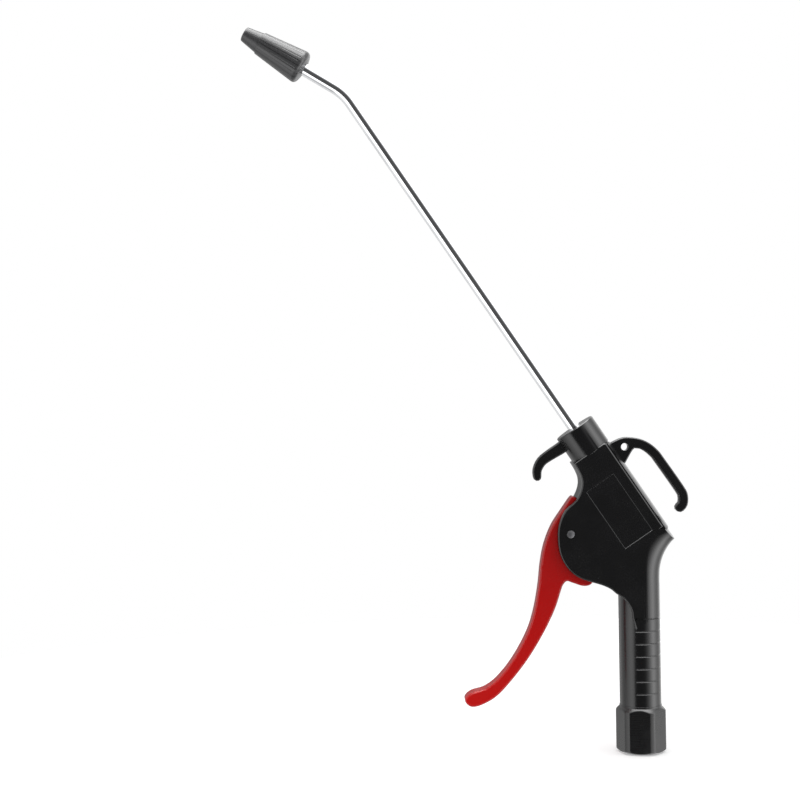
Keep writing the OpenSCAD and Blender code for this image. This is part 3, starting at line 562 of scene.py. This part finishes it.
def make_finish(name):
    """Makes the finish of that name from the chosen colours. Depths of grain and lines are in metres."""
    scene = bpy.context.scene
    chosen = scene.air_duster_finishes
    if name == "housing_nylon":
        moulded_plastic(
            name, tuple(chosen.body), worn_colour=(0.016, 0.016, 0.017), roughness=0.22, grain_scale=2400.0,
            grain_depth=0.000008)
    elif name == "lever_nylon":
        # painted light: the lever's lower end is a paler red, standing in for the extra light that reaches it
        # there, away from the housing and nearer the floor
        moulded_plastic(
            name, tuple(chosen.lever), worn_colour=(0.44, 0.006, 0.005), roughness=0.2, grain_scale=2400.0,
            grain_depth=0.000006, mark_share=0.15, ior=1.36, painted_light_colour=(0.58, 0.004, 0.003),
            painted_light_heights=(0.105, 0.025))
    elif name == "nozzle_nylon":
        tree, shader = moulded_plastic(
            name, tuple(chosen.nozzle), worn_colour=(0.06, 0.06, 0.062), roughness=0.3, grain_scale=3200.0,
            grain_depth=0.00001)
        darken_flutes(tree, shader, scene.air_duster_nozzle.flutes, share=0.6)
    elif name == "tip_nylon":
        moulded_plastic(
            name, tuple(chosen.tip), worn_colour=(0.05, 0.05, 0.052), roughness=0.32, grain_scale=3600.0,
            grain_depth=0.00001)
    elif name == "tube_plating":
        chrome_plate(name, tuple(chosen.plating), dull_share=0.86)
    elif name == "adapter_coating":
        turned_metal(
            name, tuple(chosen.body), dull=(0.012, 0.012, 0.013), roughness=0.26, lines_for_metre=5200.0,
            axis=(0, 0, 1), metallic=0.0, depth=0.000008)
    elif name == "pin_steel":
        turned_metal(
            name, (0.24, 0.24, 0.25), dull=(0.15, 0.15, 0.16), roughness=0.42, lines_for_metre=900.0,
            axis=(1, 0, 0.2))
    elif name == "valve_steel":
        turned_metal(
            name, (0.60, 0.61, 0.63), dull=(0.42, 0.43, 0.45), roughness=0.26, lines_for_metre=4200.0,
            axis=tuple(HEAD_BACK))
    elif name in ("valve_brass", "bush_brass"):
        turned_metal(
            name, (0.78, 0.58, 0.26), dull=(0.55, 0.38, 0.16), roughness=0.28, lines_for_metre=4200.0,
            axis=tuple(HEAD_BACK if name == "valve_brass" else HEAD_ALONG))
    elif name == "seal_rubber":
        seal_rubber(name, (0.02, 0.02, 0.02), bloom=(0.045, 0.045, 0.045))
    else:
        raise ValueError(f"there is no finish named {name}")


def finish(name):
    """The finish of that name, made the first time that a piece asks for it."""
    if name not in bpy.data.materials:
        make_finish(name)
    return bpy.data.materials[name]


def settle(name, mesh, finish_name, body, slot, *nodes):
    """Makes the mesh a piece with its finish, which rides on the body and stands for the CAD nodes."""
    mesh.materials.clear()
    mesh.materials.append(finish(finish_name))
    piece = add_object(name, mesh)
    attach(piece, body)
    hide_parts(*nodes)
    return piece


# Settings

class TubeSettings(bpy.types.PropertyGroup):
    """Sizes of the blow tube."""
    diameter: FloatProperty(
        name="Diameter", description="Outer diameter of the tube", default=6.0 * MM, unit="LENGTH")
    wall: FloatProperty(
        name="Wall", description="Thickness of the tube's wall", default=0.8 * MM, unit="LENGTH")
    sides: IntProperty(name="Sides", description="Number of points round the tube", default=96)


class NozzleSettings(bpy.types.PropertyGroup):
    """Sizes of the nozzle and its tip."""
    base: FloatProperty(
        name="Base", description="Diameter of the nozzle at its base", default=16.4 * MM, unit="LENGTH")
    front: FloatProperty(
        name="Front", description="Diameter of the nozzle at its front", default=11.3 * MM, unit="LENGTH")
    length: FloatProperty(
        name="Length", description="Length of the nozzle without its tip", default=24.6 * MM, unit="LENGTH")
    flutes: IntProperty(name="Flutes", description="Number of flutes round the nozzle", default=24)
    flute_depth: FloatProperty(
        name="Flute depth", description="Depth of a flute near the base", default=0.08 * MM, unit="LENGTH")


class AdapterSettings(bpy.types.PropertyGroup):
    """Sizes of the hexagonal inlet adapter."""
    flats: FloatProperty(
        name="Flats", description="Width across the hexagon's flats", default=22.0 * MM, unit="LENGTH")
    corners: FloatProperty(
        name="Corners", description="Diameter that the hexagon's corners are turned to",
        default=24.0 * MM, unit="LENGTH")
    turn: FloatProperty(
        name="Turn", description="Turn of the hexagon about the grip",
        default=math.radians(-12), unit="ROTATION")


class FinishSettings(bpy.types.PropertyGroup):
    """Colours of the finishes."""
    body: FloatVectorProperty(
        name="Body", description="Black of the moulded housing and the adapter",
        default=(0.0056, 0.0056, 0.006), subtype="COLOR", min=0, max=1)
    nozzle: FloatVectorProperty(
        name="Nozzle", description="Matt black of the nozzle's cone",
        default=(0.045, 0.045, 0.047), subtype="COLOR", min=0, max=1)
    tip: FloatVectorProperty(
        name="Tip", description="Dark grey of the nozzle's tip",
        default=(0.03, 0.03, 0.032), subtype="COLOR", min=0, max=1)
    lever: FloatVectorProperty(
        name="Lever", description="Red of the squeeze lever",
        default=(0.36, 0.002, 0.0018), subtype="COLOR", min=0, max=1)
    plating: FloatVectorProperty(
        name="Plating", description="Bright plating of the tube",
        default=(0.83, 0.84, 0.86), subtype="COLOR", min=0, max=1)


class StageSettings(bpy.types.PropertyGroup):
    """Floor, light and camera."""
    floor: FloatProperty(name="Floor", description="Radius of the round floor", default=0.45, unit="LENGTH")
    lens: FloatProperty(name="Lens", description="Focal length of the camera in millimetres", default=67.5)
    roll: FloatProperty(
        name="Roll", description="Turn of the camera about its own view",
        default=math.radians(0.9), unit="ROTATION")
    distance: FloatProperty(
        name="Distance", description="Distance from the camera to the gun's middle plane",
        default=0.7275, unit="LENGTH")


# Pieces

PANEL_FLOOR_Y = 9.35
PANEL_ACROSS = (-13.22, 1.79)
PANEL_ALONG = (-6.11, 25.99)
PANEL_SHIFT = 0.24
GROOVE_FIRST, GROOVE_STEP, GROOVES_OPENED = 28.9, 6.0, 6
GROOVE_R, GROOVE_HALF = 9.6, 0.15
OPEN_GROOVE_R, OPEN_GROOVE_SHARE = 9.8, 0.5


def at_place(values, place):
    """Where the values, in millimetres, are the place's own."""
    return np.abs(values - place) < 0.03


class AIRDUSTER_OT_housing(bpy.types.Operator):
    """Adds the black moulding: a copy of the CAD surface with the slopes of its side panels made finer, its
    grooves opened into flat V shapes, and its normals laid so that roundings run smoothly into the flats"""
    bl_idname = "airduster.housing"
    bl_label = "Housing"

    def execute(self, context):
        mesh = NODES["housing"].data.copy()
        mesh.name = "housing_moulding"
        merge_points(mesh, distance=3e-6)
        change_shell(mesh, lambda shell: bmesh.ops.dissolve_degenerate(shell, edges=shell.edges, dist=1e-6))
        self.finer_panels(mesh)
        self.open_grooves(mesh)
        lay_normals(mesh, limit=math.radians(32))
        settle("housing_moulding", mesh, "housing_nylon", "gun", "housing_black", "housing")
        return {"FINISHED"}

    def finer_panels(self, mesh):
        """Moves the corners of the two sunk panels' floors out along their slopes, outwards and sideways by
        PANEL_SHIFT."""
        points = read_points(mesh)
        local = points / MM - HEAD_ORIGIN
        sunk = at_place(np.abs(local[:, 1]), PANEL_FLOOR_Y)
        shift = np.zeros_like(points)
        for axis, (low, high) in ((HEAD_BACK, PANEL_ACROSS), (HEAD_ALONG, PANEL_ALONG)):
            reach = local @ axis - (low + high) / 2
            sunk &= at_place(np.abs(reach), (high - low) / 2)
            shift += np.sign(reach)[:, None] * PANEL_SHIFT * MM * axis
        shift[:, 1] = np.sign(local[:, 1]) * PANEL_SHIFT * MM
        points[sunk] += shift[sunk]
        write_points(mesh, points)

    def open_grooves(self, mesh):
        """Moves the floors of the grip's lower grooves out to OPEN_GROOVE_R and narrows them to
        OPEN_GROOVE_SHARE of their height, so that their lower sides catch the light."""
        points = read_points(mesh) / MM
        radius = np.hypot(points[:, 0], points[:, 1])
        for middle in GROOVE_FIRST + GROOVE_STEP * np.arange(GROOVES_OPENED):
            height = points[:, 2] - middle
            floor = at_place(radius, GROOVE_R) & at_place(np.abs(height), GROOVE_HALF)
            points[floor, :2] *= OPEN_GROOVE_R / GROOVE_R
            points[floor, 2] = middle + height[floor] * OPEN_GROOVE_SHARE
        write_points(mesh, points * MM)


TUBE_FOOT, COLLAR_TOP, TUBE_IN_NOZZLE = 41.02, 54.0, 14.98


class AIRDUSTER_OT_blow_tube(bpy.types.Operator):
    """Adds the plated tube: its wall's closed section carried along the straight run, the bend and the front
    run"""
    bl_idname = "airduster.blow_tube"
    bl_label = "Blow tube"

    def execute(self, context):
        sizes = context.scene.air_duster_tube
        outer = sizes.diameter / MM / 2
        inner = outer - sizes.wall / MM
        straight = np.concatenate((
            np.linspace(TUBE_FOOT, COLLAR_TOP, 5), np.linspace(COLLAR_TOP + 2, BEND_START, 48)))
        angles = HEAD_TILT + np.linspace(0, BEND_ANGLE, 26)[1:]
        bend_back = np.stack((np.cos(angles), 0 * angles, np.sin(angles)), -1)
        front = np.linspace(0, FRONT_RUN + TUBE_IN_NOZZLE, 10)[1:]
        path = np.concatenate((
            HEAD_ORIGIN + straight[:, None] * HEAD_ALONG,
            BEND_CENTRE + BEND_RADIUS * bend_back,
            BEND_CENTRE + BEND_RADIUS * FRONT_BACK + front[:, None] * FRONT_ALONG))
        back = np.concatenate((
            np.repeat(HEAD_BACK[None], len(straight), 0), bend_back,
            np.repeat(FRONT_BACK[None], len(front), 0)))
        outside, inside = (carried_circle(path, back, SIDE[None], r, sizes.sides) for r in (outer, inner))
        mesh = grid_mesh("blow_tube", np.concatenate((outside, inside[::-1])) * MM)
        settle("blow_tube", mesh, "tube_plating", "gun", "tube_chrome", "tube")
        return {"FINISHED"}


POINTS_ON_FLUTE = 20


class AIRDUSTER_OT_nozzle(bpy.types.Operator):
    """Adds the moulded cone with its fine flutes. A point of the cone's wall at the angle a and height z is
    drawn in by depth * w(a) * f(z), where w is a narrow round groove repeated round the cone and f fades
    towards the front"""
    bl_idname = "airduster.nozzle"
    bl_label = "Nozzle"

    def execute(self, context):
        sizes = context.scene.air_duster_nozzle
        base, front, length = sizes.base / MM / 2, sizes.front / MM / 2, sizes.length / MM
        columns = sizes.flutes * POINTS_ON_FLUTE
        flare, bore, air, ring = 0.12, 3.02, 1.5, 4.65
        foot, base_z, ring_low, ring_high, stop, socket = -0.5, 0.9, 4, 5.7, 15, length - 6
        corners = [(base + flare, base_z), (front, length), (bore, length), (bore, socket), (air, socket),
                   (air, stop), (bore, stop), (bore, ring_high), (ring, ring_high), (ring, ring_low),
                   (bore, ring_low), (bore, foot)]
        cuts = [2.2, 0.12, 0.1, 0.1, 0.1, 0.2, 0.1, 0.1, 0.1, 0.1, 0.1, 0.06]
        profile = split_long(rounded(same_all_round(corners, columns), cuts, steps=6), longest=0.5)
        profile[..., 0] -= self.flute_cut(profile, sizes, length)
        mesh = grid_mesh("nozzle_cone", turned_points(profile, NOZZLE_PLACE))
        settle("nozzle_cone", mesh, "nozzle_nylon", "gun", "nozzle_black", "nozzle")
        return {"FINISHED"}

    def flute_cut(self, profile, sizes, length):
        """How far each point of the profile is drawn in: the flutes fade in just over start_z, fade out from
        full_z to a share of the length, and leave the bore as it is."""
        start_z, full_z, length_share = 2.6, 3.0, 0.72
        r, z = profile[..., 0], profile[..., 1]
        a = round_angles(profile.shape[1])
        groove = np.clip(np.cos(a * sizes.flutes + math.pi) * 1.6 - 0.6, 0, 1)[None]
        fade_in = np.clip(z - start_z, 0, 1)
        fade_out = np.clip(1 - (z - full_z) / (length_share * (length - full_z)), 0, 1) ** 0.7
        wall = np.clip((r - 5.0) / 0.5, 0, 1)
        return sizes.flute_depth / MM * groove * fade_in * fade_in * (3 - 2 * fade_in) * fade_out * wall


class AIRDUSTER_OT_nozzle_tip(bpy.types.Operator):
    """Adds the plain tip, a turned profile with softened corners, with the air outlet through it"""
    bl_idname = "airduster.nozzle_tip"
    bl_label = "Nozzle tip"

    def execute(self, context):
        start, length, spigot_length, mouth = 24.62, 9, 5.98, 0.8
        foot, end = start - spigot_length, start + length
        spigot, base, front, outlet, air = 3.0, 5.2, 3.6, 1.6, 1.0
        corners = [(spigot, foot), (spigot, start), (base, start), (front, end), (outlet, end),
                   (air, end - mouth), (air, foot)]
        cuts = [0.15, 0.1, 0.12, 0.55, 0.25, 0.2, 0.15]
        profile = split_long(rounded(same_all_round(corners, 128), cuts), longest=1.0)
        mesh = grid_mesh("nozzle_tip_cone", turned_points(profile, NOZZLE_PLACE))
        settle("nozzle_tip_cone", mesh, "tip_nylon", "gun", "tip_black", "nozzle_tip")
        return {"FINISHED"}


THREAD_MINOR_R, THREAD_PITCH, THREAD_DEPTH = 5.72, 1.337, 0.856
THREAD_END, BORE_END = 12.9, 13


class AIRDUSTER_OT_inlet_adapter(bpy.types.Operator):
    """Adds the hexagonal adapter. Its wall at the angle a stands at the smaller of the flat's distance, half
    the width across flats over cos of the angle from the flat's middle, and the turned corner's radius. The
    thread inside adds its depth times a rounded wave of z / pitch - a / turn to the minor radius"""
    bl_idname = "airduster.inlet_adapter"
    bl_label = "Inlet adapter"

    def execute(self, context):
        sizes = context.scene.air_duster_adapter
        flat, corner = sizes.flats / MM / 2, sizes.corners / MM / 2
        a = round_angles(360)
        off = (a - sizes.turn) % (math.pi / 3) - math.pi / 6
        soft = 0.06
        wall = -soft * np.logaddexp(-(flat / np.cos(off)) / soft, -corner / soft)
        neck_r, neck_z, shoulder_z = 10.2, 21.9, 20.1
        foot_r, foot_slope = 10.0, 0.6
        top = shoulder_z + (corner - wall) * ((neck_z - shoulder_z) / (corner - neck_r))
        foot = (wall - foot_r) * foot_slope
        spigot_r, spigot_z, ring_r, ring_low, ring_high, spigot_end = 7.5, 22.7, 5.9, 27.7, 29.4, 32.68
        air_r, lead_z, mouth_r = 4, 0.9, 6.6
        corners = np.stack([np.stack((r + 0 * a, z + 0 * a), -1) for r, z in (
            (foot_r, 0), (wall, foot), (wall, top), (neck_r, neck_z), (neck_r, spigot_z),
            (spigot_r, spigot_z), (spigot_r, ring_low), (ring_r, ring_low), (ring_r, ring_high),
            (spigot_r, ring_high), (spigot_r, spigot_end), (air_r, spigot_end), (air_r, BORE_END),
            (THREAD_MINOR_R, BORE_END), (THREAD_MINOR_R, lead_z), (mouth_r, 0))])
        cuts = [0.06, 0.1, 0.6, 0.2, 0.1, 0.1, 0.1, 0.1, 0.1, 0.1, 0.4, 0.3, 0.2, 0.1, 0.05, 0.15]
        profile = self.threaded(split_long(rounded(corners, cuts, steps=3), longest=0.9), a)
        mesh = grid_mesh("inlet_adapter_body", turned_points(profile, GRIP_PLACE), sharp=32)
        settle("inlet_adapter_body", mesh, "adapter_coating", "gun", "adapter_black", "inlet_adapter")
        return {"FINISHED"}

    def threaded(self, profile, a):
        """The profile with the stretch of its bore below THREAD_END replaced by the thread's wall."""
        r, z = profile[:, 0, 0], profile[:, 0, 1]
        plain = np.flatnonzero((r < 6.9) & (z < THREAD_END) & (z >= 0))
        rows = np.concatenate((np.linspace(THREAD_END, 0.1, 130), (0.0,)))
        z = np.repeat(rows[:, None], len(a), 1)
        wave = 0.5 - 0.5 * np.cos(TURN * (z / THREAD_PITCH - a[None] / TURN))
        run_out = np.clip((THREAD_END - 0.5 - z) / 1.4, 0, 1)
        lead_in = 6.75 - z
        r = np.maximum(THREAD_MINOR_R + THREAD_DEPTH * np.clip(1.5 * wave - 0.25, 0, 1) * run_out, lead_in)
        return np.concatenate((profile[:plain[0]], np.stack((r, z), -1), profile[plain[-1] + 1:]))


LEVER_REACH, LEVER_DROP = 87.5, 44.7
LEVER_THICKNESS, LEVER_EDGE, LEVER_HOLE_R = 10.4, 1.2, 2.15
LEVER_SHARES = [
    (0.041, 0.255), (-0.057, 0.174), (-0.15, 0.049), (-0.226, -0.098), (-0.306, -0.282),
    (-0.405, -0.479), (-0.506, -0.631), (-0.646, -0.772), (-0.773, -0.852), (-0.865, -0.864),
    (-0.939, -0.821), (-0.984, -0.826), (-1, -0.87), (-0.985, -0.945), (-0.929, -0.989),
    (-0.834, -1), (-0.705, -0.942), (-0.562, -0.846), (-0.417, -0.713), (-0.301, -0.579),
    (-0.219, -0.456), (-0.191, -0.418), (-0.162, -0.407), (-0.141, -0.456), (-0.109, -0.537),
    (-0.082, -0.573), (-0.059, -0.579), (-0.041, -0.559), (-0.034, -0.503)]
LEVER_PAD = [(4.8, -16.1), (4.8, -14.5), (4.8, -7.4), (4.8, -5.8)]
LEVER_TOP_SHARES = [
    (0.07, 0.02), (0.068, 0.13), (0.092, 0.2), (0.124, 0.232), (0.1385, 0.262), (0.137, 0.293),
    (0.121, 0.311)]


class AIRDUSTER_OT_lever(bpy.types.Operator):
    """Adds the red lever: a smooth outline through the CAD outline's points, as a plate with round edges"""
    bl_idname = "airduster.lever"
    bl_label = "Lever"

    def execute(self, context):
        scale = np.array((LEVER_REACH, LEVER_DROP))
        points = np.concatenate((LEVER_SHARES * scale, LEVER_PAD, LEVER_TOP_SHARES * scale))
        outline = even_loop(smooth_loop(points, steps=10), count=520)
        hole = (0, 0, LEVER_HOLE_R)
        mesh = plate_mesh("squeeze_lever", outline, LEVER_THICKNESS, LEVER_EDGE, hole, LEVER_PLACE)
        settle("squeeze_lever", mesh, "lever_nylon", "lever", "lever_red", "lever")
        return {"FINISHED"}


class AIRDUSTER_OT_pivot_pin(bpy.types.Operator):
    """Adds the lever's steel pin, a turned piece. Its ends are low domes that fall from the axis to the
    rim by the square of the radius"""
    bl_idname = "airduster.pivot_pin"
    bl_label = "Pivot pin"

    def execute(self, context):
        r, half, rim, dome_rise = 2.1, 9.7, 0.3, 0.22
        flat_r = r - rim
        dome = np.linspace(0, 1, 7)[:-1] * flat_r
        top = np.stack((dome, half - dome_rise + dome_rise * (1 - (dome / flat_r) ** 2)), -1)
        edge = np.array(((flat_r, half - dome_rise), (r - 0.09, half - 0.3), (r, half - 0.5)))
        upper = np.concatenate((top, edge))
        walls = np.stack((np.full(9, r), np.linspace(half - 2, 2 - half, 9)), -1)
        profile = np.concatenate((upper, walls, upper[::-1] * (1, -1)))[::-1]
        points = turned_points(same_all_round(profile, 64), PIN_PLACE)
        mesh = grid_mesh("pivot_pin_body", points, close_rows=False, sharp=50)
        settle("pivot_pin_body", mesh, "pin_steel", "gun", "steel", "pivot_pin")
        return {"FINISHED"}


class AIRDUSTER_OT_valve_spring(bpy.types.Operator):
    """Adds the valve's coil: a circle of wire carried along a helix whose height grows evenly with its turn,
    and closed at both ends"""
    bl_idname = "airduster.valve_spring"
    bl_label = "Valve spring"

    def execute(self, context):
        wire, radius, turns, clearance = 0.25, 2.2, 4, 0.02
        disc_z, disc_height, seat_z = 2.6, 1.2, 10
        low, high = disc_z + disc_height + wire + clearance, seat_z - wire - clearance
        t = np.linspace(0, turns * TURN, turns * 36 + 1)
        pitch = (high - low) / t[-1]
        out, middle = around(1, t, 0 * t), around(radius, t, low + pitch * t)
        along = np.stack((-radius * np.sin(t), radius * np.cos(t), np.full_like(t, pitch)), -1)
        wall = carried_circle(middle, out, np.cross(along / lengths(along), out), wire, count=14)
        ends = [np.repeat(middle[k][None, None], wall.shape[1], 1) for k in (0, -1)]
        points = VALVE_PLACE.put(np.concatenate((ends[0], wall, ends[1])))
        mesh = grid_mesh("valve_coil", points[::-1], close_rows=False)
        piece = settle("valve_coil", mesh, "valve_steel", "gun", "steel", "valve_spring")
        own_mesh(piece)
        return {"FINISHED"}


class AIRDUSTER_OT_inner_finishes(bpy.types.Operator):
    """Gives the CAD nodes of the valve, the bush and the seals their turned brass, steel and rubber"""
    bl_idname = "airduster.inner_finishes"
    bl_label = "Inner finishes"

    def execute(self, context):
        chosen = {
            "valve_brass": ("valve_sleeve", "valve_nut", "poppet_washer"),
            "bush_brass": ("tube_bush",),
            "valve_steel": ("valve_stem",),
            "seal_rubber": ("inlet_o_ring", "sleeve_front_o_ring", "sleeve_rear_o_ring", "stem_o_ring",
                            "poppet_seal", "tube_o_ring", "nozzle_o_ring"),
        }
        for name, nodes in chosen.items():
            for node in nodes:
                for slot in NODES[node].material_slots:
                    slot.material = finish(name)
        return {"FINISHED"}


# Stage

LEFT_WALL = (
    (0, 0.09), (41, 0.09), (43, 1.9), (50, 2.1), (61, 2.35), (77, 1.7), (92, 1.08), (109, 0.78),
    (125, 0.9), (150, 0.9), (164, 0.3), (180, 0.15))
RIGHT_WALL = (
    (0, 0.09), (22, 0.1), (29, 0.45), (41, 1.2), (53, 2.7), (66, 4.3), (75, 4.2), (87, 2.5),
    (97, 1.7), (104, 1.25), (118, 1.2), (137, 1.6), (155, 1.7), (168, 1.0), (180, 0.4))
RAMP_TOP, ROOF_LIGHT, MATT_LIGHT, WHITE = 5.0, 9.0, 0.85, 1.0
LAMPS = (
    ("lamp_right", (0.9, -0.9, 1.0), (-0.03, 0, 0.15), 0.6, 1.2),
    ("lamp_left", (-0.9, -0.9, 0.8), (-0.05, 0, 0.15), 0.5, 0.8))
VIEW_X, VIEW_Z = -0.1144, 0.1717


class AIRDUSTER_OT_stage(bpy.types.Operator):
    """Adds the pale floor, the soft light and the camera at the photograph's angle"""
    bl_idname = "airduster.stage"
    bl_label = "Stage"

    def execute(self, context):
        settings = context.scene.air_duster_stage
        self.add_floor(settings)
        self.add_world(context.scene)
        self.add_lamps()
        self.add_camera(context.scene, settings)
        context.scene.view_settings.view_transform = "Standard"
        return {"FINISHED"}

    def add_floor(self, settings):
        """Round floor just under the adapter: pale, white to the camera and shaded by the gun. Reflections
        pass through it to the studio below, which carries on in the same way."""
        middle_x, top_z = -0.05, -0.0004
        radii = np.linspace(0, settings.floor, 12)[:, None]
        a = round_angles(96)[None]
        points = around(radii, a, 0 * radii * a + top_z) + (middle_x, 0, 0)
        mesh = grid_mesh("floor", points[::-1], close_rows=False)
        tree, shader = new_material("floor_card", (0.86, 0.86, 0.86))
        shader.inputs["Roughness"].default_value = 0.9
        shader.inputs["Specular IOR Level"].default_value = 0.0
        path = add_node(tree, "LightPath")
        white = add_node(tree, "BsdfDiffuse", {"Color": (1, 1, 1, 1)})[0]
        glow = add_node(tree, "Emission", {"Strength": 0.3})[0]
        both = add_node(tree, "AddShader", {0: white, 1: glow})[0]
        seen = mixed_shader(tree, path["Is Camera Ray"], shader.outputs[0], both)
        shown = mixed_shader(tree, path["Is Glossy Ray"], seen, add_node(tree, "BsdfTransparent")[0])
        tree.links.new(shown, tree.nodes["Material Output"].inputs["Surface"])
        mesh.materials.append(bpy.data.materials["floor_card"])
        add_object("floor", mesh)

    def add_world(self, scene):
        """Studio all round: white to the camera, an even pale light on matt surfaces, and to reflections
        white walls with a dark gap round the camera's side, hard at its left edge and soft at its right, a
        greyer far side, a dim lower part and a broad soft light overhead."""
        world = bpy.data.worlds.new("studio")
        world.use_nodes = True
        scene.world = world
        tree = world.node_tree
        tree.nodes.clear()
        x, y, z = split_vector(tree, coordinates(tree, "Generated"))
        angle = math_node(tree, "ARCCOSINE", math_node(tree, "MULTIPLY", y, -1.0))
        share = math_node(tree, "DIVIDE", angle, math.pi)
        left, right = (self.add_ramp(tree, share, stops) for stops in (LEFT_WALL, RIGHT_WALL))
        walls = mixed_number(tree, map_node(tree, x, (-0.06, 0.06)), left, right)
        dim = math_node(tree, "MULTIPLY", walls, map_node(tree, z, (-0.8, -0.65), (0.35, 1.0)))
        roofed = mixed_number(tree, map_node(tree, z, (0.84, 0.91)), dim, ROOF_LIGHT)
        path = add_node(tree, "LightPath")
        lit = mixed_number(tree, path["Is Glossy Ray"], MATT_LIGHT, roofed)
        seen = math_node(tree, "MAXIMUM", path["Is Camera Ray"], path["Is Transmission Ray"])
        strength = mixed_number(tree, seen, lit, WHITE)
        light = add_node(tree, "Background", {"Color": (1, 1, 1, 1), "Strength": strength})[0]
        add_node(tree, "OutputWorld", {"Surface": light})

    def add_ramp(self, tree, share, stops):
        """Brightness by the angle in degrees from the camera's side, straight between the stops (angle,
        brightness). The ramp holds the brightness over RAMP_TOP, because its colours end at one."""
        ramp = tree.nodes.new("ShaderNodeValToRGB")
        tree.links.new(share, ramp.inputs[0])
        marks = ramp.color_ramp.elements
        while len(marks) < len(stops):
            marks.new(0.5)
        for mark, (angle, level) in zip(marks, stops):
            mark.position = angle / 180
            mark.color = (level / RAMP_TOP, level / RAMP_TOP, level / RAMP_TOP, 1)
        return math_node(tree, "MULTIPLY", ramp.outputs["Color"], RAMP_TOP)

    def add_lamps(self):
        """A soft lamp from the upper right and a dimmer one from the upper left, both out of the gun's
        reflections. Each is (name, place, aim, width, radiance)."""
        for name, place, aim, width, radiance in LAMPS:
            lamp = bpy.data.lights.new(name, "AREA")
            lamp.shape = "RECTANGLE"
            lamp.size, lamp.size_y = width, width
            lamp.energy = radiance * math.pi * width * width
            holder = bpy.data.objects.new(name, lamp)
            holder.visible_glossy = False
            bpy.context.scene.collection.objects.link(holder)
            away = np.array(place) - np.array(aim)
            away /= np.linalg.norm(away)
            level = np.cross((0, 0, 1), away)
            level /= np.linalg.norm(level)
            turned = np.eye(4)
            turned[:3] = np.stack((level, np.cross(away, level), away, place), -1)
            holder.matrix_world = Matrix(turned.tolist())

    def add_camera(self, scene, settings):
        """Camera that looks along +Y at the gun's middle plane, turned a little about its own view."""
        view = bpy.data.cameras.new("camera")
        view.lens = settings.lens
        view.sensor_width = 36
        view.clip_start = 0.01
        holder = bpy.data.objects.new("camera", view)
        scene.collection.objects.link(holder)
        c, s = math.cos(settings.roll), math.sin(settings.roll)
        holder.matrix_world = Matrix((
            (c, s, 0, VIEW_X), (0, 0, -1, -settings.distance), (-s, c, 0, VIEW_Z), (0, 0, 0, 1)))
        scene.camera = holder


# Panel

PIECE_OPERATORS = (
    AIRDUSTER_OT_housing, AIRDUSTER_OT_inlet_adapter, AIRDUSTER_OT_lever, AIRDUSTER_OT_pivot_pin,
    AIRDUSTER_OT_valve_spring, AIRDUSTER_OT_inner_finishes, AIRDUSTER_OT_blow_tube, AIRDUSTER_OT_nozzle,
    AIRDUSTER_OT_nozzle_tip, AIRDUSTER_OT_stage)
SETTINGS = {
    "air_duster_tube": TubeSettings,
    "air_duster_nozzle": NozzleSettings,
    "air_duster_adapter": AdapterSettings,
    "air_duster_finishes": FinishSettings,
    "air_duster_stage": StageSettings,
}


class AIRDUSTER_PT_pieces(bpy.types.Panel):
    """Lists the pieces, their sizes and the stage"""
    bl_idname = "AIRDUSTER_PT_pieces"
    bl_label = "Air Duster"
    bl_space_type = "VIEW_3D"
    bl_region_type = "UI"
    bl_category = "Air Duster"

    def draw(self, context):
        for operator in PIECE_OPERATORS:
            self.layout.operator(operator.bl_idname)
        for name, group in SETTINGS.items():
            box = self.layout.box()
            for label in group.__annotations__:
                box.prop(getattr(context.scene, name), label)


def register():
    """Registers the settings, the operators and the panel."""
    for name, group in SETTINGS.items():
        bpy.utils.register_class(group)
        setattr(bpy.types.Scene, name, PointerProperty(type=group))
    for kind in (*PIECE_OPERATORS, AIRDUSTER_PT_pieces):
        bpy.utils.register_class(kind)


def unregister():
    """Takes the panel, the operators and the settings out again."""
    for kind in (AIRDUSTER_PT_pieces, *reversed(PIECE_OPERATORS)):
        bpy.utils.unregister_class(kind)
    for name, group in SETTINGS.items():
        delattr(bpy.types.Scene, name)
        bpy.utils.unregister_class(group)


def main():
    """Builds every piece and the stage."""
    register()
    mould_grain_group()
    handling_marks_group()
    tool_lines_group()
    for operator in PIECE_OPERATORS:
        getattr(bpy.ops.airduster, operator.bl_idname.split(".")[1])()


if __name__ == "__main__":
    main()
